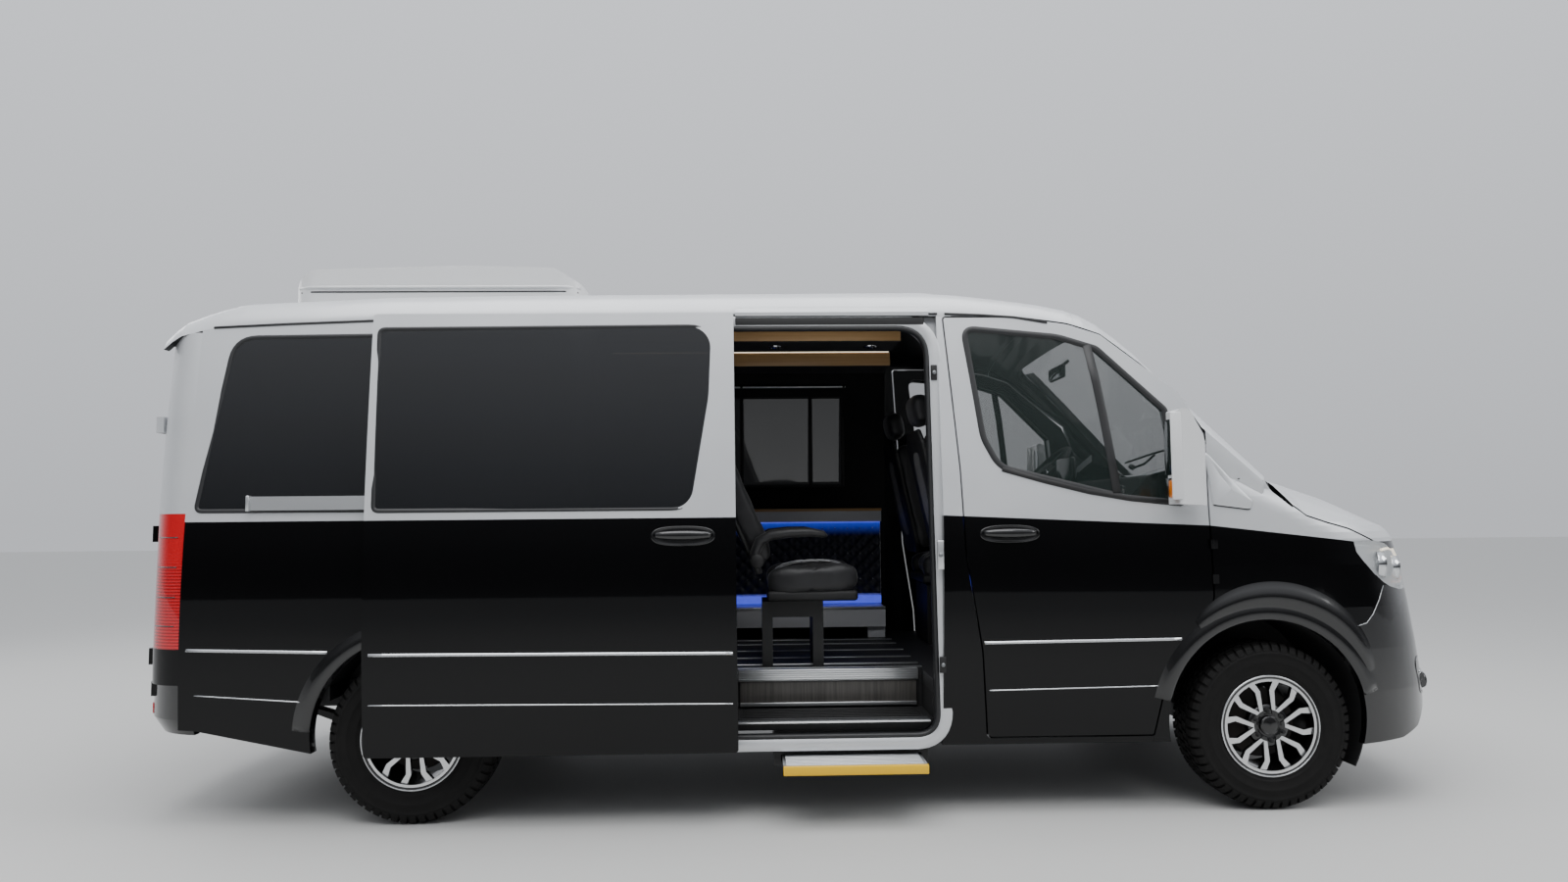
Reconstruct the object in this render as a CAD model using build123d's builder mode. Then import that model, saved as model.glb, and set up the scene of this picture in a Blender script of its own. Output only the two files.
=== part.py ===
"""Passenger van, standing level on its wheels.

+X points to the nose, +Y to the van's left side and +Z up.
The origin lies on the ground, on the centre plane, midway between nose and tail.
All sizes are in millimetres.
"""
import math
import os

from build123d import *

os.makedirs("parts", exist_ok=True)

RIGHT = -1
LEFT = 1

# Driving dimensions of the whole van
wheelbase = 3665
front_overhang = 1004
rear_overhang = 1263
body_width = 2020
mirror_span = 2345
overall_length = front_overhang + wheelbase + rear_overhang
rear_axle_x = rear_overhang - overall_length / 2
front_axle_x = rear_axle_x + wheelbase
nose_x = front_axle_x + front_overhang
tail_x = rear_axle_x - rear_overhang
F = front_axle_x
R = rear_axle_x
half_width = body_width / 2

# Cross section of the body side: height, and how far it lies inside the widest point
sill_z = 300
sill_inset = 25
waist_z = 740
belt_z = 1280
belt_inset = 20
mid_z = 1722
mid_inset = 66
drip_z = 2165
drip_inset = 125
wall_thickness = 60
glass_thickness = 8
shut_gap = 7
seam_gap = 0.8

# Roof and screen: the arch runs from its base on the body side to an edge point and over the crown
roof_edge_y = 800
roof_thickness = 45
corner_bulge = 0.155

# Nose
nose_front_radius = 1691
nose_break_y = 600
shoulder_y = 860
shoulder_bulge = 0.12
nose_thickness = 40
nose_floor_z = 278

# Rear bumper
tail_radius = 3440
tail_break_y = 760
bumper_top_z = 737

# Wheels and tyres
tyre_radius = 356
tyre_width = 235
tyre_outer_y = 985
rim_radius = 216
rim_seat_radius = 203
spindle_radius = 32
running_fit = 0.3
wheel_centre_y = tyre_outer_y - tyre_width / 2
front_arch_radius = 432
front_arch_offset_x = -17
front_arch_z = 383
rear_arch_radius = 420
rear_arch_z = 366

# Floor and entry
floor_top_z = 570
floor_thickness = 60
step_tread_z = 400
step_edge_y = 620
well_front_x = F - 1452
well_rear_x = F - 2700

# Sliding door, standing open
door_slide_out = 115
slide_door_front_x = F - 2297
slide_door_width_top = 1553
slide_door_width_bottom = 1532
slide_door_top_z = 2160

# Rear doors
rear_face_x = R - 1147
rear_door_half = 795
rear_door_bottom_z = 604
rear_door_thickness = 60


def arc_y(z, low, middle, high):
    """Half width at height z on the arc through three (half width, height) points."""
    (y1, z1), (y2, z2), (y3, z3) = low, middle, high
    d = 2 * (y1 * (z2 - z3) + y2 * (z3 - z1) + y3 * (z1 - z2))
    s1, s2, s3 = y1 * y1 + z1 * z1, y2 * y2 + z2 * z2, y3 * y3 + z3 * z3
    centre_y = (s1 * (z2 - z3) + s2 * (z3 - z1) + s3 * (z1 - z2)) / d
    centre_z = (s1 * (y3 - y2) + s2 * (y1 - y3) + s3 * (y2 - y1)) / d
    radius = math.hypot(y1 - centre_y, z1 - centre_z)
    return centre_y + math.sqrt(radius ** 2 - (z - centre_z) ** 2)


sill_point = (half_width - sill_inset, sill_z)
waist_point = (half_width, waist_z)
belt_point = (half_width - belt_inset, belt_z)
mid_point = (half_width - mid_inset, mid_z)
drip_point = (half_width - drip_inset, drip_z)


def side_y(z):
    """Half width of the body side at height z."""
    if z <= belt_z:
        return arc_y(z, sill_point, waist_point, belt_point)
    return arc_y(z, belt_point, mid_point, drip_point)


def bulge_point(start, end, share):
    """A point beside the middle of a chord, to its left, as a share of its length."""
    dx = end[0] - start[0]
    dy = end[1] - start[1]
    return ((start[0] + end[0]) / 2 - dy * share, (start[1] + end[1]) / 2 + dx * share)


def side_ribbon(x_start, x_end, side, inset, thickness, top_z=drip_z):
    """A length of body side: the curved section between two skins, run along X."""
    def at(y, z, depth):
        return (side * (y - inset - depth), z)

    upper_mid_z = (belt_z + top_z) / 2
    with BuildPart() as ribbon:
        with BuildSketch(Plane.YZ.offset(x_start)):
            with BuildLine():
                for depth in (0, thickness):
                    ThreePointArc(at(*sill_point, depth), at(*waist_point, depth), at(*belt_point, depth))
                    ThreePointArc(
                        at(*belt_point, depth),
                        at(side_y(upper_mid_z), upper_mid_z, depth),
                        at(side_y(top_z), top_z, depth),
                    )
                Line(at(*sill_point, 0), at(*sill_point, thickness))
                Line(at(side_y(top_z), top_z, 0), at(side_y(top_z), top_z, thickness))
            make_face()
        extrude(amount=x_end - x_start)
    return ribbon.part


def smooth_rows(rows, steps):
    """More rows between those of a table: a smooth curve through each column, over the first column."""
    slopes = []
    for i, row in enumerate(rows):
        before = rows[max(0, i - 1)]
        after = rows[min(len(rows) - 1, i + 1)]
        run = after[0] - before[0]
        slopes.append([(after[k] - before[k]) / run for k in range(len(row))])
    result = []
    for i in range(len(rows) - 1):
        run = rows[i + 1][0] - rows[i][0]
        for j in range(steps[i]):
            t = j / steps[i]
            start_share = 2 * t ** 3 - 3 * t ** 2 + 1
            start_slope_share = t ** 3 - 2 * t ** 2 + t
            end_slope_share = t ** 3 - t ** 2
            result.append(tuple(
                start_share * rows[i][k]
                + (1 - start_share) * rows[i + 1][k]
                + run * (start_slope_share * slopes[i][k] + end_slope_share * slopes[i + 1][k])
                for k in range(len(rows[0]))
            ))
    result.append(rows[-1])
    return result


def overlap(one, other):
    """The space that two solids share."""
    with BuildPart() as shared:
        add(one)
        add(other, mode=Mode.INTERSECT)
    return shared.part


def largest(piece):
    """The biggest solid of a piece, without the chips that a cut leaves beside it."""
    return piece.solids().sort_by(SortBy.VOLUME)[-1]


def side_prism(points, side, y_near=0, y_far=1400, corner_radius=0, grow=0):
    """An outline seen from the side, run across between two distances from the centre plane."""
    with BuildPart() as prism:
        with BuildSketch(Plane.XZ.offset(-side * y_near)):
            with BuildLine():
                Polyline(*points, close=True)
            make_face()
            if corner_radius:
                fillet(vertices(), corner_radius)
            if grow:
                offset(amount=grow, kind=Kind.INTERSECTION)
        extrude(amount=-side * (y_far - y_near))
    return prism.part


def arch_wire(x, base, edge, crown_z, inset):
    """Points of one skin of an arch: base on the right, edge, crown, edge, base on the left."""
    (yb, zb), (ye, ze) = base, edge
    base_r = (-(yb - inset), zb)
    edge_r = (-(ye - inset * 0.3), ze - inset)
    return base_r, edge_r, (0, crown_z - inset), (-edge_r[0], edge_r[1]), (-base_r[0], base_r[1])


def arch_skin(points, bulge):
    base_r, edge_r, crown, edge_l, base_l = points
    ThreePointArc(base_r, bulge_point(base_r, edge_r, bulge), edge_r)
    ThreePointArc(edge_r, crown, edge_l)
    ThreePointArc(edge_l, bulge_point(edge_l, base_l, bulge), base_l)


def arch_shell(stations, inset, thickness):
    """Roof and screen shell: a band lofted over stations of (x, base z, edge z, crown z)."""
    with BuildPart() as shell:
        for x, base_z, edge_z, crown_z in stations:
            base = (side_y(base_z), base_z)
            outer = arch_wire(x, base, (roof_edge_y, edge_z), crown_z, inset)
            inner = arch_wire(x, base, (roof_edge_y, edge_z), crown_z, inset + thickness)
            with BuildSketch(Plane.YZ.offset(x)):
                with BuildLine():
                    arch_skin(outer, corner_bulge)
                    Line(outer[-1], inner[-1])
                    arch_skin(inner, corner_bulge)
                    Line(inner[0], outer[0])
                make_face()
        loft(ruled=True)
    return shell.part


def rounded_end(levels, start_x, tip_x, tip_radius, break_y, inset):
    """A body end seen from above: straight sides, corner arcs and a broad arc at the tip, lofted upwards.

    Each level is (z, distance of its tip behind the foremost tip).
    """
    way = 1 if tip_x > start_x else -1
    tilt = math.asin(break_y / tip_radius)
    half_way = (tilt + math.pi / 2) / 2
    with BuildPart() as body:
        for z, setback in levels:
            tip = abs(tip_x) - setback - inset
            y_side = side_y(z) - inset
            radius = tip_radius - inset
            near_y = radius * math.sin(tilt)
            near_x = tip - radius * (1 - math.cos(tilt))
            corner = (y_side - near_y) / (1 - math.sin(tilt))
            centre_x = near_x - corner * math.cos(tilt)
            centre_y = near_y - corner * math.sin(tilt)
            middle_x = centre_x + corner * math.cos(half_way)
            middle_y = centre_y + corner * math.sin(half_way)
            start = (start_x, -y_side)
            bend = (way * centre_x, -y_side)
            middle = (way * middle_x, -middle_y)
            near = (way * near_x, -near_y)
            with BuildSketch(Plane.XY.offset(z)):
                with BuildLine():
                    Line(start, bend)
                    ThreePointArc(bend, middle, near)
                    ThreePointArc(near, (way * tip, 0), (near[0], -near[1]))
                    ThreePointArc((near[0], -near[1]), (middle[0], -middle[1]), (bend[0], -bend[1]))
                    Line((bend[0], -bend[1]), (start[0], -start[1]))
                    Line((start[0], -start[1]), start)
                make_face()
        loft(ruled=True)
    return body.part


def nose_top(stations, inset):
    """Everything below the bonnet's surface: stations of (x, base z, shoulder z, crown z)."""
    with BuildPart() as body:
        for x, base_z, shoulder_z, crown_z in stations:
            foot = (half_width + 5 + inset, base_z)
            skin = arch_wire(x, foot, (shoulder_y, shoulder_z), crown_z, inset)
            with BuildSketch(Plane.YZ.offset(x)):
                with BuildLine():
                    arch_skin(skin, shoulder_bulge)
                    Polyline(
                        skin[-1],
                        (skin[-1][0], nose_floor_z - 100),
                        (skin[0][0], nose_floor_z - 100),
                        skin[0],
                    )
                make_face()
        loft(ruled=True)
    return body.part


# Roof stations: x, base z, edge z, crown z
roof_table = [
    (R - 1120, 2025, 2095, 2168),
    (R - 1050, 2085, 2164, 2246),
    (R - 800, 2130, 2240, 2322),
    (R + 403, 2158, 2276, 2357),
    (F - 1462, 2165, 2284, 2365),
    (F - 1127, 2158, 2255, 2340),
    (F - 810, 2105, 2205, 2300),
    (F - 668, 2048, 2141, 2252),
    (F - 500, 1930, 1995, 2146),
    (F - 262, 1668, 1756, 1906),
    (F + 138, 1290, 1347, 1497),
]
roof_stations = smooth_rows(roof_table, (2, 3, 2, 1, 2, 3, 2, 2, 1, 1))
roof_split_x = F - 780

outer_arch = arch_shell(roof_stations, 0, roof_thickness)
glass_arch = arch_shell(roof_stations, 1, glass_thickness)

# Nose levels: z, distance of the front behind the nose
nose_table = [
    (nose_floor_z - 20, 0),
    (500, 0),
    (1043, 79),
    (1157, 112),
    (1215, 165),
    (1275, 270),
    (1345, 420),
    (1700, 1200),
]
nose_levels = smooth_rows(nose_table, (1, 3, 1, 2, 2, 1, 1))
nose_rear_x = F - 238
# Bonnet stations: x, base z, shoulder z, crown z
bonnet_table = [
    (F - 246, 1500, 1570, 1680),
    (F + 28, 1340, 1441, 1571),
    (F + 181, 1200, 1352, 1500),
    (F + 495, 1079, 1239, 1389),
    (F + 747, 968, 1128, 1278),
    (nose_x + 10, 810, 970, 1120),
]
bonnet_stations = smooth_rows(bonnet_table, (1, 1, 2, 1, 1))


def nose_body(inset):
    """The closed nose at a distance inside the skin."""
    plan = rounded_end(nose_levels, F - 1500, nose_x, nose_front_radius, nose_break_y, inset)
    top = nose_top(bonnet_stations, inset)
    with BuildPart() as body:
        add(plan)
        add(top, mode=Mode.INTERSECT)
        with Locations(((nose_rear_x + nose_x) / 2 + 50, 0, 900)):
            Box(nose_x - nose_rear_x + 100, 3000, 2000, mode=Mode.INTERSECT)
    return body.part


nose_outer = nose_body(0)
nose_inner = nose_body(nose_thickness)
with BuildPart() as nose_shell:
    add(nose_outer)
    add(nose_inner, mode=Mode.SUBTRACT)

# Outlines seen from the side: x, z and corner radius

bonnet_seam = [
    (F + 60, 1422),
    (F + 95, 1367),
    (F + 137, 1309),
    (F + 194, 1262),
    (F + 281, 1233),
    (F + 390, 1204),
    (F + 528, 1146),
    (F + 608, 1131),
    (F + 651, 1106),
]
lamp_lower = [
    (F + 598, 943),
    (F + 554, 965),
    (F + 499, 1004),
    (F + 444, 1060),
    (F + 412, 1099),
    (F + 403, 1146),
]
bumper_seam = [
    (F + 283, 771),
    (F + 377, 779),
    (F + 433, 792),
    (F + 473, 830),
    (F + 514, 889),
    (F + 550, 949),
]
front_door_outline = [
    (F - 1368, 2156, 10),
    (F - 1048, 2156, 300),
    (F - 812, 2124, 300),
    (F - 668, 2075, 60),
    (F - 326, 1800, 0),
    (F - 238, 1620, 40),
    (F - 246, 1296, 0),
    (F - 245, 880, 160),
    (F - 454, 596, 200),
    (F - 517, 332, 8),
    (F - 1229, 332, 20),
    (F - 1245, 696, 300),
    (F - 1306, 1106, 300),
    (F - 1318, 1473, 300),
]
front_glass_outline = [
    (F - 1281, 2108, 45),
    (F - 860, 2066, 300),
    (F - 690, 2012, 60),
    (F - 404, 1733, 25),
    (F - 352, 1318, 12),
    (F - 607, 1345, 300),
    (F - 1150, 1482, 120),
    (F - 1215, 1610, 200),
]
quarter_glass_outline = [
    (R - 920, 1320, 25),
    (R - 815, 2078, 110),
    (R + 650, 2094, 70),
    (R + 650, 1316, 70),
]
middle_glass_outline = [
    (F - 2960, 1316, 70),
    (F - 2960, 2096, 70),
    (F - 1660, 2096, 70),
    (F - 1660, 1316, 70),
]
slide_door_outline = [
    (slide_door_front_x - 7, slide_door_top_z, 15),
    (slide_door_front_x, belt_z, 0),
    (slide_door_front_x + 7, 306, 15),
    (slide_door_front_x + 7 - slide_door_width_bottom, 306, 15),
    (slide_door_front_x - 7 - slide_door_width_top + 10, slide_door_top_z, 15),
]
slide_glass_outline = [
    (slide_door_front_x - 1521, 2092, 25),
    (slide_door_front_x - 102, 2100, 95),
    (slide_door_front_x - 113, 1790, 500),
    (slide_door_front_x - 190, 1314, 90),
    (slide_door_front_x - 1503, 1314, 25),
]
opening_outline = [
    (F - 2920, 347, 60),
    (F - 2920, 2108, 100),
    (F - 1452, 2108, 130),
    (F - 1444, 347, 90),
]
door_rebate_outline = [
    (F - 2975, sill_z - 20, 0),
    (F - 2975, 2172, 0),
    (F - 1400, 2172, 0),
    (F - 1402, belt_z, 0),
    (F - 1425, sill_z - 20, 0),
]
rebate_depth = 42


def outline_prism(rows, side, y_near=0, y_far=1400, grow=0):
    """A rounded outline seen from the side, run across between two distances from the centre plane."""
    points = [(x, z) for x, z, corner in rows]
    corners = [corner for x, z, corner in rows]
    with BuildPart() as prism:
        with BuildSketch(Plane.XZ.offset(-side * y_near)):
            with BuildLine():
                FilletPolyline(*points, radius=corners, close=True)
            make_face()
            if grow:
                offset(amount=grow)
        extrude(amount=-side * (y_far - y_near))
    return prism.part


def arch_prism(centre_x, centre_z, radius):
    """A wheel opening on both sides: a round head on a straight lower part."""
    with BuildPart() as prism:
        with BuildSketch(Plane.XZ):
            with Locations((centre_x, centre_z)):
                Circle(radius)
            with Locations((centre_x, centre_z - 200)):
                Rectangle(2 * radius - 26, 400)
        extrude(amount=1300, both=True)
    return prism.part


front_arch = arch_prism(F + front_arch_offset_x, front_arch_z, front_arch_radius)
rear_arch = arch_prism(R, rear_arch_z, rear_arch_radius)

front_door_gap = outline_prism(front_door_outline, RIGHT, grow=shut_gap)
front_door_prism = outline_prism(front_door_outline, RIGHT)
front_glass_prism = outline_prism(front_glass_outline, RIGHT)
quarter_glass_prism = outline_prism(quarter_glass_outline, RIGHT)
middle_glass_prism = outline_prism(middle_glass_outline, LEFT)
slide_door_prism = outline_prism(slide_door_outline, RIGHT)
slide_glass_prism = outline_prism(slide_glass_outline, RIGHT)
opening_prism = outline_prism(opening_outline, RIGHT)
rebate_prism = outline_prism(door_rebate_outline, RIGHT)

panel_rear_x = R - 960
b_pillar_x = F - 1229
side_front_x = F - 517

# Everything above the roof's lower edge
roof_line_prism = side_prism(
    [(x, base_z - 0.5) for x, base_z, edge_z, crown_z in roof_stations]
    + [(F + 138, 2600), (R - 1300, 2600), (R - 1300, 1950)],
    RIGHT,
)
# Everything under the rising lower edge behind the rear wheel
tail_sweep_prism = side_prism(
    [(R - 400, sill_z), (R - 897, 406), (R - 1300, 430), (R - 1300, 200), (R - 400, 200)], RIGHT
)

right_ribbon = side_ribbon(panel_rear_x, side_front_x, RIGHT, 0, wall_thickness)
rebate_ribbon = side_ribbon(F - 3000, F - 1380, RIGHT, -5, rebate_depth + 5, drip_z + 20)

rebate_cut = overlap(rebate_ribbon, rebate_prism)

# Rear bumper
bumper_levels = [(388, 45), (450, 0), (592, 0), (bumper_top_z, 25)]
tail_outer = rounded_end(bumper_levels, R - 780, tail_x, tail_radius, tail_break_y, 0)
tail_inner = rounded_end(bumper_levels, R - 770, tail_x, tail_radius, tail_break_y, 40)
rear_bumper_front = [
    (R - 952, bumper_top_z),
    (R - 936, 559),
    (R - 892, 380),
    (R - 600, 380),
    (R - 600, 1000),
]
bumper_front_prism = side_prism(rear_bumper_front + [(R - 952, 1000)], RIGHT)
bumper_front_far_prism = mirror(bumper_front_prism, about=Plane.XZ)
with BuildPart() as rear_bumper:
    add(tail_outer)
    add(tail_inner, mode=Mode.SUBTRACT)
    add([bumper_front_prism, bumper_front_far_prism], mode=Mode.SUBTRACT)
    with Locations((R - 1200, 0, 900)):
        Box(800, 2 * (rear_door_half + 12), 2 * (900 - rear_door_bottom_z + shut_gap), mode=Mode.SUBTRACT)

# Side panels: rear quarter, sill, roof side rail and door pillars

with BuildPart() as panel_blank:
    add(right_ribbon)
    add([front_door_gap, rear_arch, tail_sweep_prism], mode=Mode.SUBTRACT)
    add([roof_line_prism, quarter_glass_prism], mode=Mode.SUBTRACT)
    add(rear_bumper.part, mode=Mode.SUBTRACT)
    with Locations(((b_pillar_x + F - 465) / 2, -half_width, 1300)):
        Box(F - 465 - b_pillar_x, 400, 1900, mode=Mode.SUBTRACT)
    with Locations((b_pillar_x - 50, -half_width, 2250)):
        Box(110, 400, 300, mode=Mode.SUBTRACT)

with BuildPart() as side_panel_right:
    add(panel_blank.part)
    add([opening_prism, rebate_cut], mode=Mode.SUBTRACT)

with BuildPart() as side_panel_left:
    mirror(panel_blank.part, about=Plane.XZ)
    add(middle_glass_prism, mode=Mode.SUBTRACT)

# Window panes of the cabin, flush with the side
right_pane_ribbon = side_ribbon(panel_rear_x, F - 1400, RIGHT, 1, glass_thickness)
left_pane_ribbon = side_ribbon(panel_rear_x, F - 1400, LEFT, 1, glass_thickness)
quarter_pane = overlap(right_pane_ribbon, quarter_glass_prism)
middle_pane = overlap(left_pane_ribbon, middle_glass_prism)
with BuildPart() as side_windows:
    add(quarter_pane)
    mirror(quarter_pane, about=Plane.XZ)
    add(middle_pane)

# Roof and cab frame
screen_bottom = (F + 48, 1451)
screen_angle = 45.6

with BuildPart() as below_screen:
    with BuildSketch(Plane.XZ):
        with BuildLine():
            Polyline(
                screen_bottom,
                (screen_bottom[0] + 350, screen_bottom[1] + 343),
                (screen_bottom[0] + 700, screen_bottom[1] + 343),
                (screen_bottom[0] + 700, 1000),
                (screen_bottom[0] - 441, 1000),
                close=True,
            )
        make_face()
    extrude(amount=1300, both=True)

screen_plane = Plane(
    origin=(screen_bottom[0], 0, screen_bottom[1]),
    x_dir=(0, 1, 0),
    z_dir=(math.sin(math.radians(screen_angle)), 0, math.cos(math.radians(screen_angle))),
)

# Screen outline: across, up the slope
with BuildPart() as screen_prism:
    with BuildSketch(screen_plane.offset(-120)):
        with BuildLine():
            FilletPolyline((-770, 28), (770, 28), (705, 962), (-705, 962), radius=85, close=True)
        make_face()
    extrude(amount=400)

with BuildPart() as cab_frame:
    add(outer_arch)
    with Locations((roof_split_x - 3000 + seam_gap / 2, 0, 2000)):
        Box(6000, 3000, 2000, mode=Mode.SUBTRACT)
    add([screen_prism.part, below_screen.part, front_door_gap], mode=Mode.SUBTRACT)
    mirror(front_door_gap, about=Plane.XZ, mode=Mode.SUBTRACT)

with BuildPart() as roof_panel:
    add(outer_arch)
    with Locations((roof_split_x + 3000 - seam_gap / 2, 0, 2000)):
        Box(6000, 3000, 2400, mode=Mode.SUBTRACT)
    add(front_door_gap, mode=Mode.SUBTRACT)
    mirror(front_door_gap, about=Plane.XZ, mode=Mode.SUBTRACT)

with BuildPart() as windscreen:
    add(glass_arch)
    add(screen_prism.part, mode=Mode.INTERSECT)

# Nose panels
grille_half = 595
lamp_inner_y = 600
nose_far = nose_x + 60
bonnet_rear_side_x = F + 62
bonnet_rear_centre_x = F + 196

with BuildPart() as bonnet_zone:
    with BuildSketch(Plane.XZ):
        with BuildLine():
            Polyline(*bonnet_seam, (nose_far, 1106), (nose_far, 1750), (F + 60, 1750), close=True)
        make_face()
    extrude(amount=1200, both=True)
    with BuildSketch(Plane.XY.offset(1000)):
        with BuildLine():
            arc = ThreePointArc((F + 40, -1000), (bonnet_rear_centre_x, 0), (F + 40, 1000))
            Polyline(arc @ 1, (nose_far, 1000), (nose_far, -1000), arc @ 0)
        make_face()
    extrude(amount=800, mode=Mode.INTERSECT)

with BuildPart() as bonnet:
    add(nose_shell.part)
    add(bonnet_zone.part, mode=Mode.INTERSECT)

lamp_prism = side_prism(
    bonnet_seam[-3:] + [(nose_far, 1106), (nose_far, 930), (F + 687, 924)] + lamp_lower,
    RIGHT,
    lamp_inner_y,
)
lamp_gap_prism = side_prism(
    bonnet_seam[-3:] + [(nose_far, 1106), (nose_far, 930), (F + 687, 924)] + lamp_lower,
    RIGHT,
    lamp_inner_y - seam_gap,
    grow=seam_gap,
)
bumper_prism = side_prism(
    bumper_seam + [lamp_lower[0], (F + 687, 924), (nose_far, 924), (nose_far, 100), (F + 283, 100)],
    RIGHT,
)
bumper_gap_prism = side_prism(
    bumper_seam + [lamp_lower[0], (F + 687, 924), (nose_far, 924), (nose_far, 100), (F + 283, 100)],
    RIGHT,
    grow=seam_gap,
)
chin_prism = side_prism(
    [
        (F + 870, 440),
        (F + 735, 324),
        (F + 616, 289),
        (F + 283, 268),
        (F + 283, 60),
        (nose_far, 60),
        (nose_far, 455),
    ],
    RIGHT,
)
bonnet_gap_prism = side_prism(
    bonnet_seam + [(nose_far, 1106), (nose_far, 1750), (F + 54, 1750), (F + 54, 1430)],
    RIGHT,
    grow=shut_gap,
)


def pillar_foot_z(x):
    """Lower edge of the screen pillar, between the last two rows of the roof table."""
    (x0, z0, *rest), (x1, z1, *rest1) = roof_table[-2:]
    return z0 + (x - x0) * (z1 - z0) / (x1 - x0)


screen_foot_prism = side_prism(
    [
        (F - 300, pillar_foot_z(F - 300) - seam_gap),
        (F + 9, pillar_foot_z(F + 9) - seam_gap),
        (F + 47, 1449),
        (F + 47, 1900),
        (F - 300, 1900),
    ],
    RIGHT,
)
grille_zone = (774, 1098)

wing_ribbon = side_ribbon(side_front_x + seam_gap, nose_rear_x, RIGHT, 0, nose_thickness)
with BuildPart() as wing_blank:
    add(nose_shell.part)
    add(wing_ribbon)
    with Locations((F, 1000, 1000)):
        Box(4000, 2000 + 2 * 600, 3000, mode=Mode.SUBTRACT)
    add([bonnet_gap_prism, lamp_gap_prism, bumper_gap_prism, front_door_gap], mode=Mode.SUBTRACT)
    add([front_arch, screen_foot_prism, roof_line_prism], mode=Mode.SUBTRACT)

with BuildPart() as wings:
    add(largest(wing_blank.part))
    mirror(wings.part, about=Plane.XZ)

with BuildPart() as headlamps:
    add(nose_shell.part)
    add(lamp_prism, mode=Mode.INTERSECT)
    mirror(headlamps.part, about=Plane.XZ)

with BuildPart() as front_bumper:
    add(nose_shell.part)
    add(bumper_prism, mode=Mode.INTERSECT)
    with Locations((nose_x, -lamp_inner_y / 2, 850)):
        Box(900, lamp_inner_y, 2 * (850 - grille_zone[0] + seam_gap), mode=Mode.SUBTRACT)
    add([front_arch, chin_prism], mode=Mode.SUBTRACT)
    mirror(front_bumper.part, about=Plane.XZ)

with BuildPart() as grille:
    add(nose_shell.part)
    with Locations((nose_x, 0, sum(grille_zone) / 2)):
        Box(900, 2 * grille_half, grille_zone[1] - grille_zone[0], mode=Mode.INTERSECT)
    with Locations((nose_x - 122, 300, grille_zone[1] - 5), (nose_x - 122, -300, grille_zone[1] - 5)):
        Cylinder(
            8,
            1106 - running_fit - grille_zone[1] + 5,
            align=(Align.CENTER, Align.CENTER, Align.MIN),
        )

with BuildPart() as cowl_zone:
    with BuildSketch(Plane.XY.offset(1200)):
        with BuildLine():
            rear_edge = ThreePointArc(
                (F + 40 - shut_gap, -1000),
                (bonnet_rear_centre_x - shut_gap, 0),
                (F + 40 - shut_gap, 1000),
            )
            Polyline(rear_edge @ 1, (F - 30, 1000), (F - 30, -1000), rear_edge @ 0)
        make_face()
    extrude(amount=600)

with BuildPart() as cowl:
    add(nose_shell.part)
    add(cowl_zone.part, mode=Mode.INTERSECT)
    add(below_screen.part, mode=Mode.INTERSECT)
    add(wings.part, mode=Mode.SUBTRACT)

# Front doors
door_ribbon = side_ribbon(F - 1400, F - 200, RIGHT, 0, wall_thickness)
door_pane_ribbon = side_ribbon(F - 1400, F - 200, RIGHT, 1, glass_thickness)
divider_outline = [(F - 730, 2040), (F - 672, 2010), (F - 598, 1340), (F - 646, 1352)]
divider_prism = side_prism(divider_outline, RIGHT)

with BuildPart() as front_door_right:
    add(door_ribbon)
    add(front_door_prism, mode=Mode.INTERSECT)
    add(front_glass_prism, mode=Mode.SUBTRACT)

with BuildPart() as front_glass_right:
    add(door_pane_ribbon)
    add(front_glass_prism, mode=Mode.INTERSECT)

mirror_rear_x = F - 449
mirror_front_x = F - 292
mirror_foot_z = 1306
mirror_top_z = 1722
mirror_inner_y = 1030

with BuildPart() as mirror_right:
    with BuildSketch(Plane.XY.offset(mirror_foot_z)):
        with BuildLine():
            FilletPolyline(
                (mirror_rear_x + 10, -mirror_inner_y),
                (mirror_rear_x + 10, -mirror_span / 2 + 4),
                (mirror_front_x - 30, -mirror_span / 2 + 12),
                (mirror_front_x, -mirror_inner_y - 40),
                (mirror_front_x, -mirror_inner_y),
                radius=18,
                close=True,
            )
        make_face()
    extrude(amount=mirror_top_z - mirror_foot_z)
    with BuildSketch(Plane.XZ.offset(mirror_inner_y - 10)):
        with BuildLine():
            FilletPolyline(
                (mirror_rear_x, mirror_foot_z + 8),
                (mirror_rear_x + 4, mirror_top_z),
                (mirror_rear_x + 66, mirror_top_z - 12),
                (mirror_front_x - 18, mirror_foot_z + 250),
                (mirror_front_x, mirror_foot_z),
                radius=[20, 30, 45, 90, 15],
                close=True,
            )
        make_face()
    extrude(amount=300, mode=Mode.INTERSECT)
    with Locations((mirror_front_x - 70, -(mirror_inner_y + 970) / 2, mirror_foot_z + 45)):
        Box(90, mirror_inner_y - 970 + 20, 60)
    add(door_ribbon, mode=Mode.SUBTRACT)

with BuildPart() as front_door_left:
    mirror(front_door_right.part, about=Plane.XZ)
with BuildPart() as front_glass_left:
    mirror(front_glass_right.part, about=Plane.XZ)
with BuildPart() as mirror_left:
    mirror(mirror_right.part, about=Plane.XZ)

# Sliding door in its open place, with its arms and the rail
slide_ribbon = side_ribbon(
    slide_door_front_x - 1600, slide_door_front_x + 60, RIGHT, -door_slide_out, wall_thickness - 5
)
slide_pane_ribbon = side_ribbon(
    slide_door_front_x - 1600, slide_door_front_x + 60, RIGHT, -door_slide_out + 1, glass_thickness
)
with BuildPart() as sliding_door:
    add(slide_ribbon)
    add(slide_door_prism, mode=Mode.INTERSECT)
    add(slide_glass_prism, mode=Mode.SUBTRACT)

with BuildPart() as sliding_door_window:
    add(slide_pane_ribbon)
    add(slide_glass_prism, mode=Mode.INTERSECT)

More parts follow.
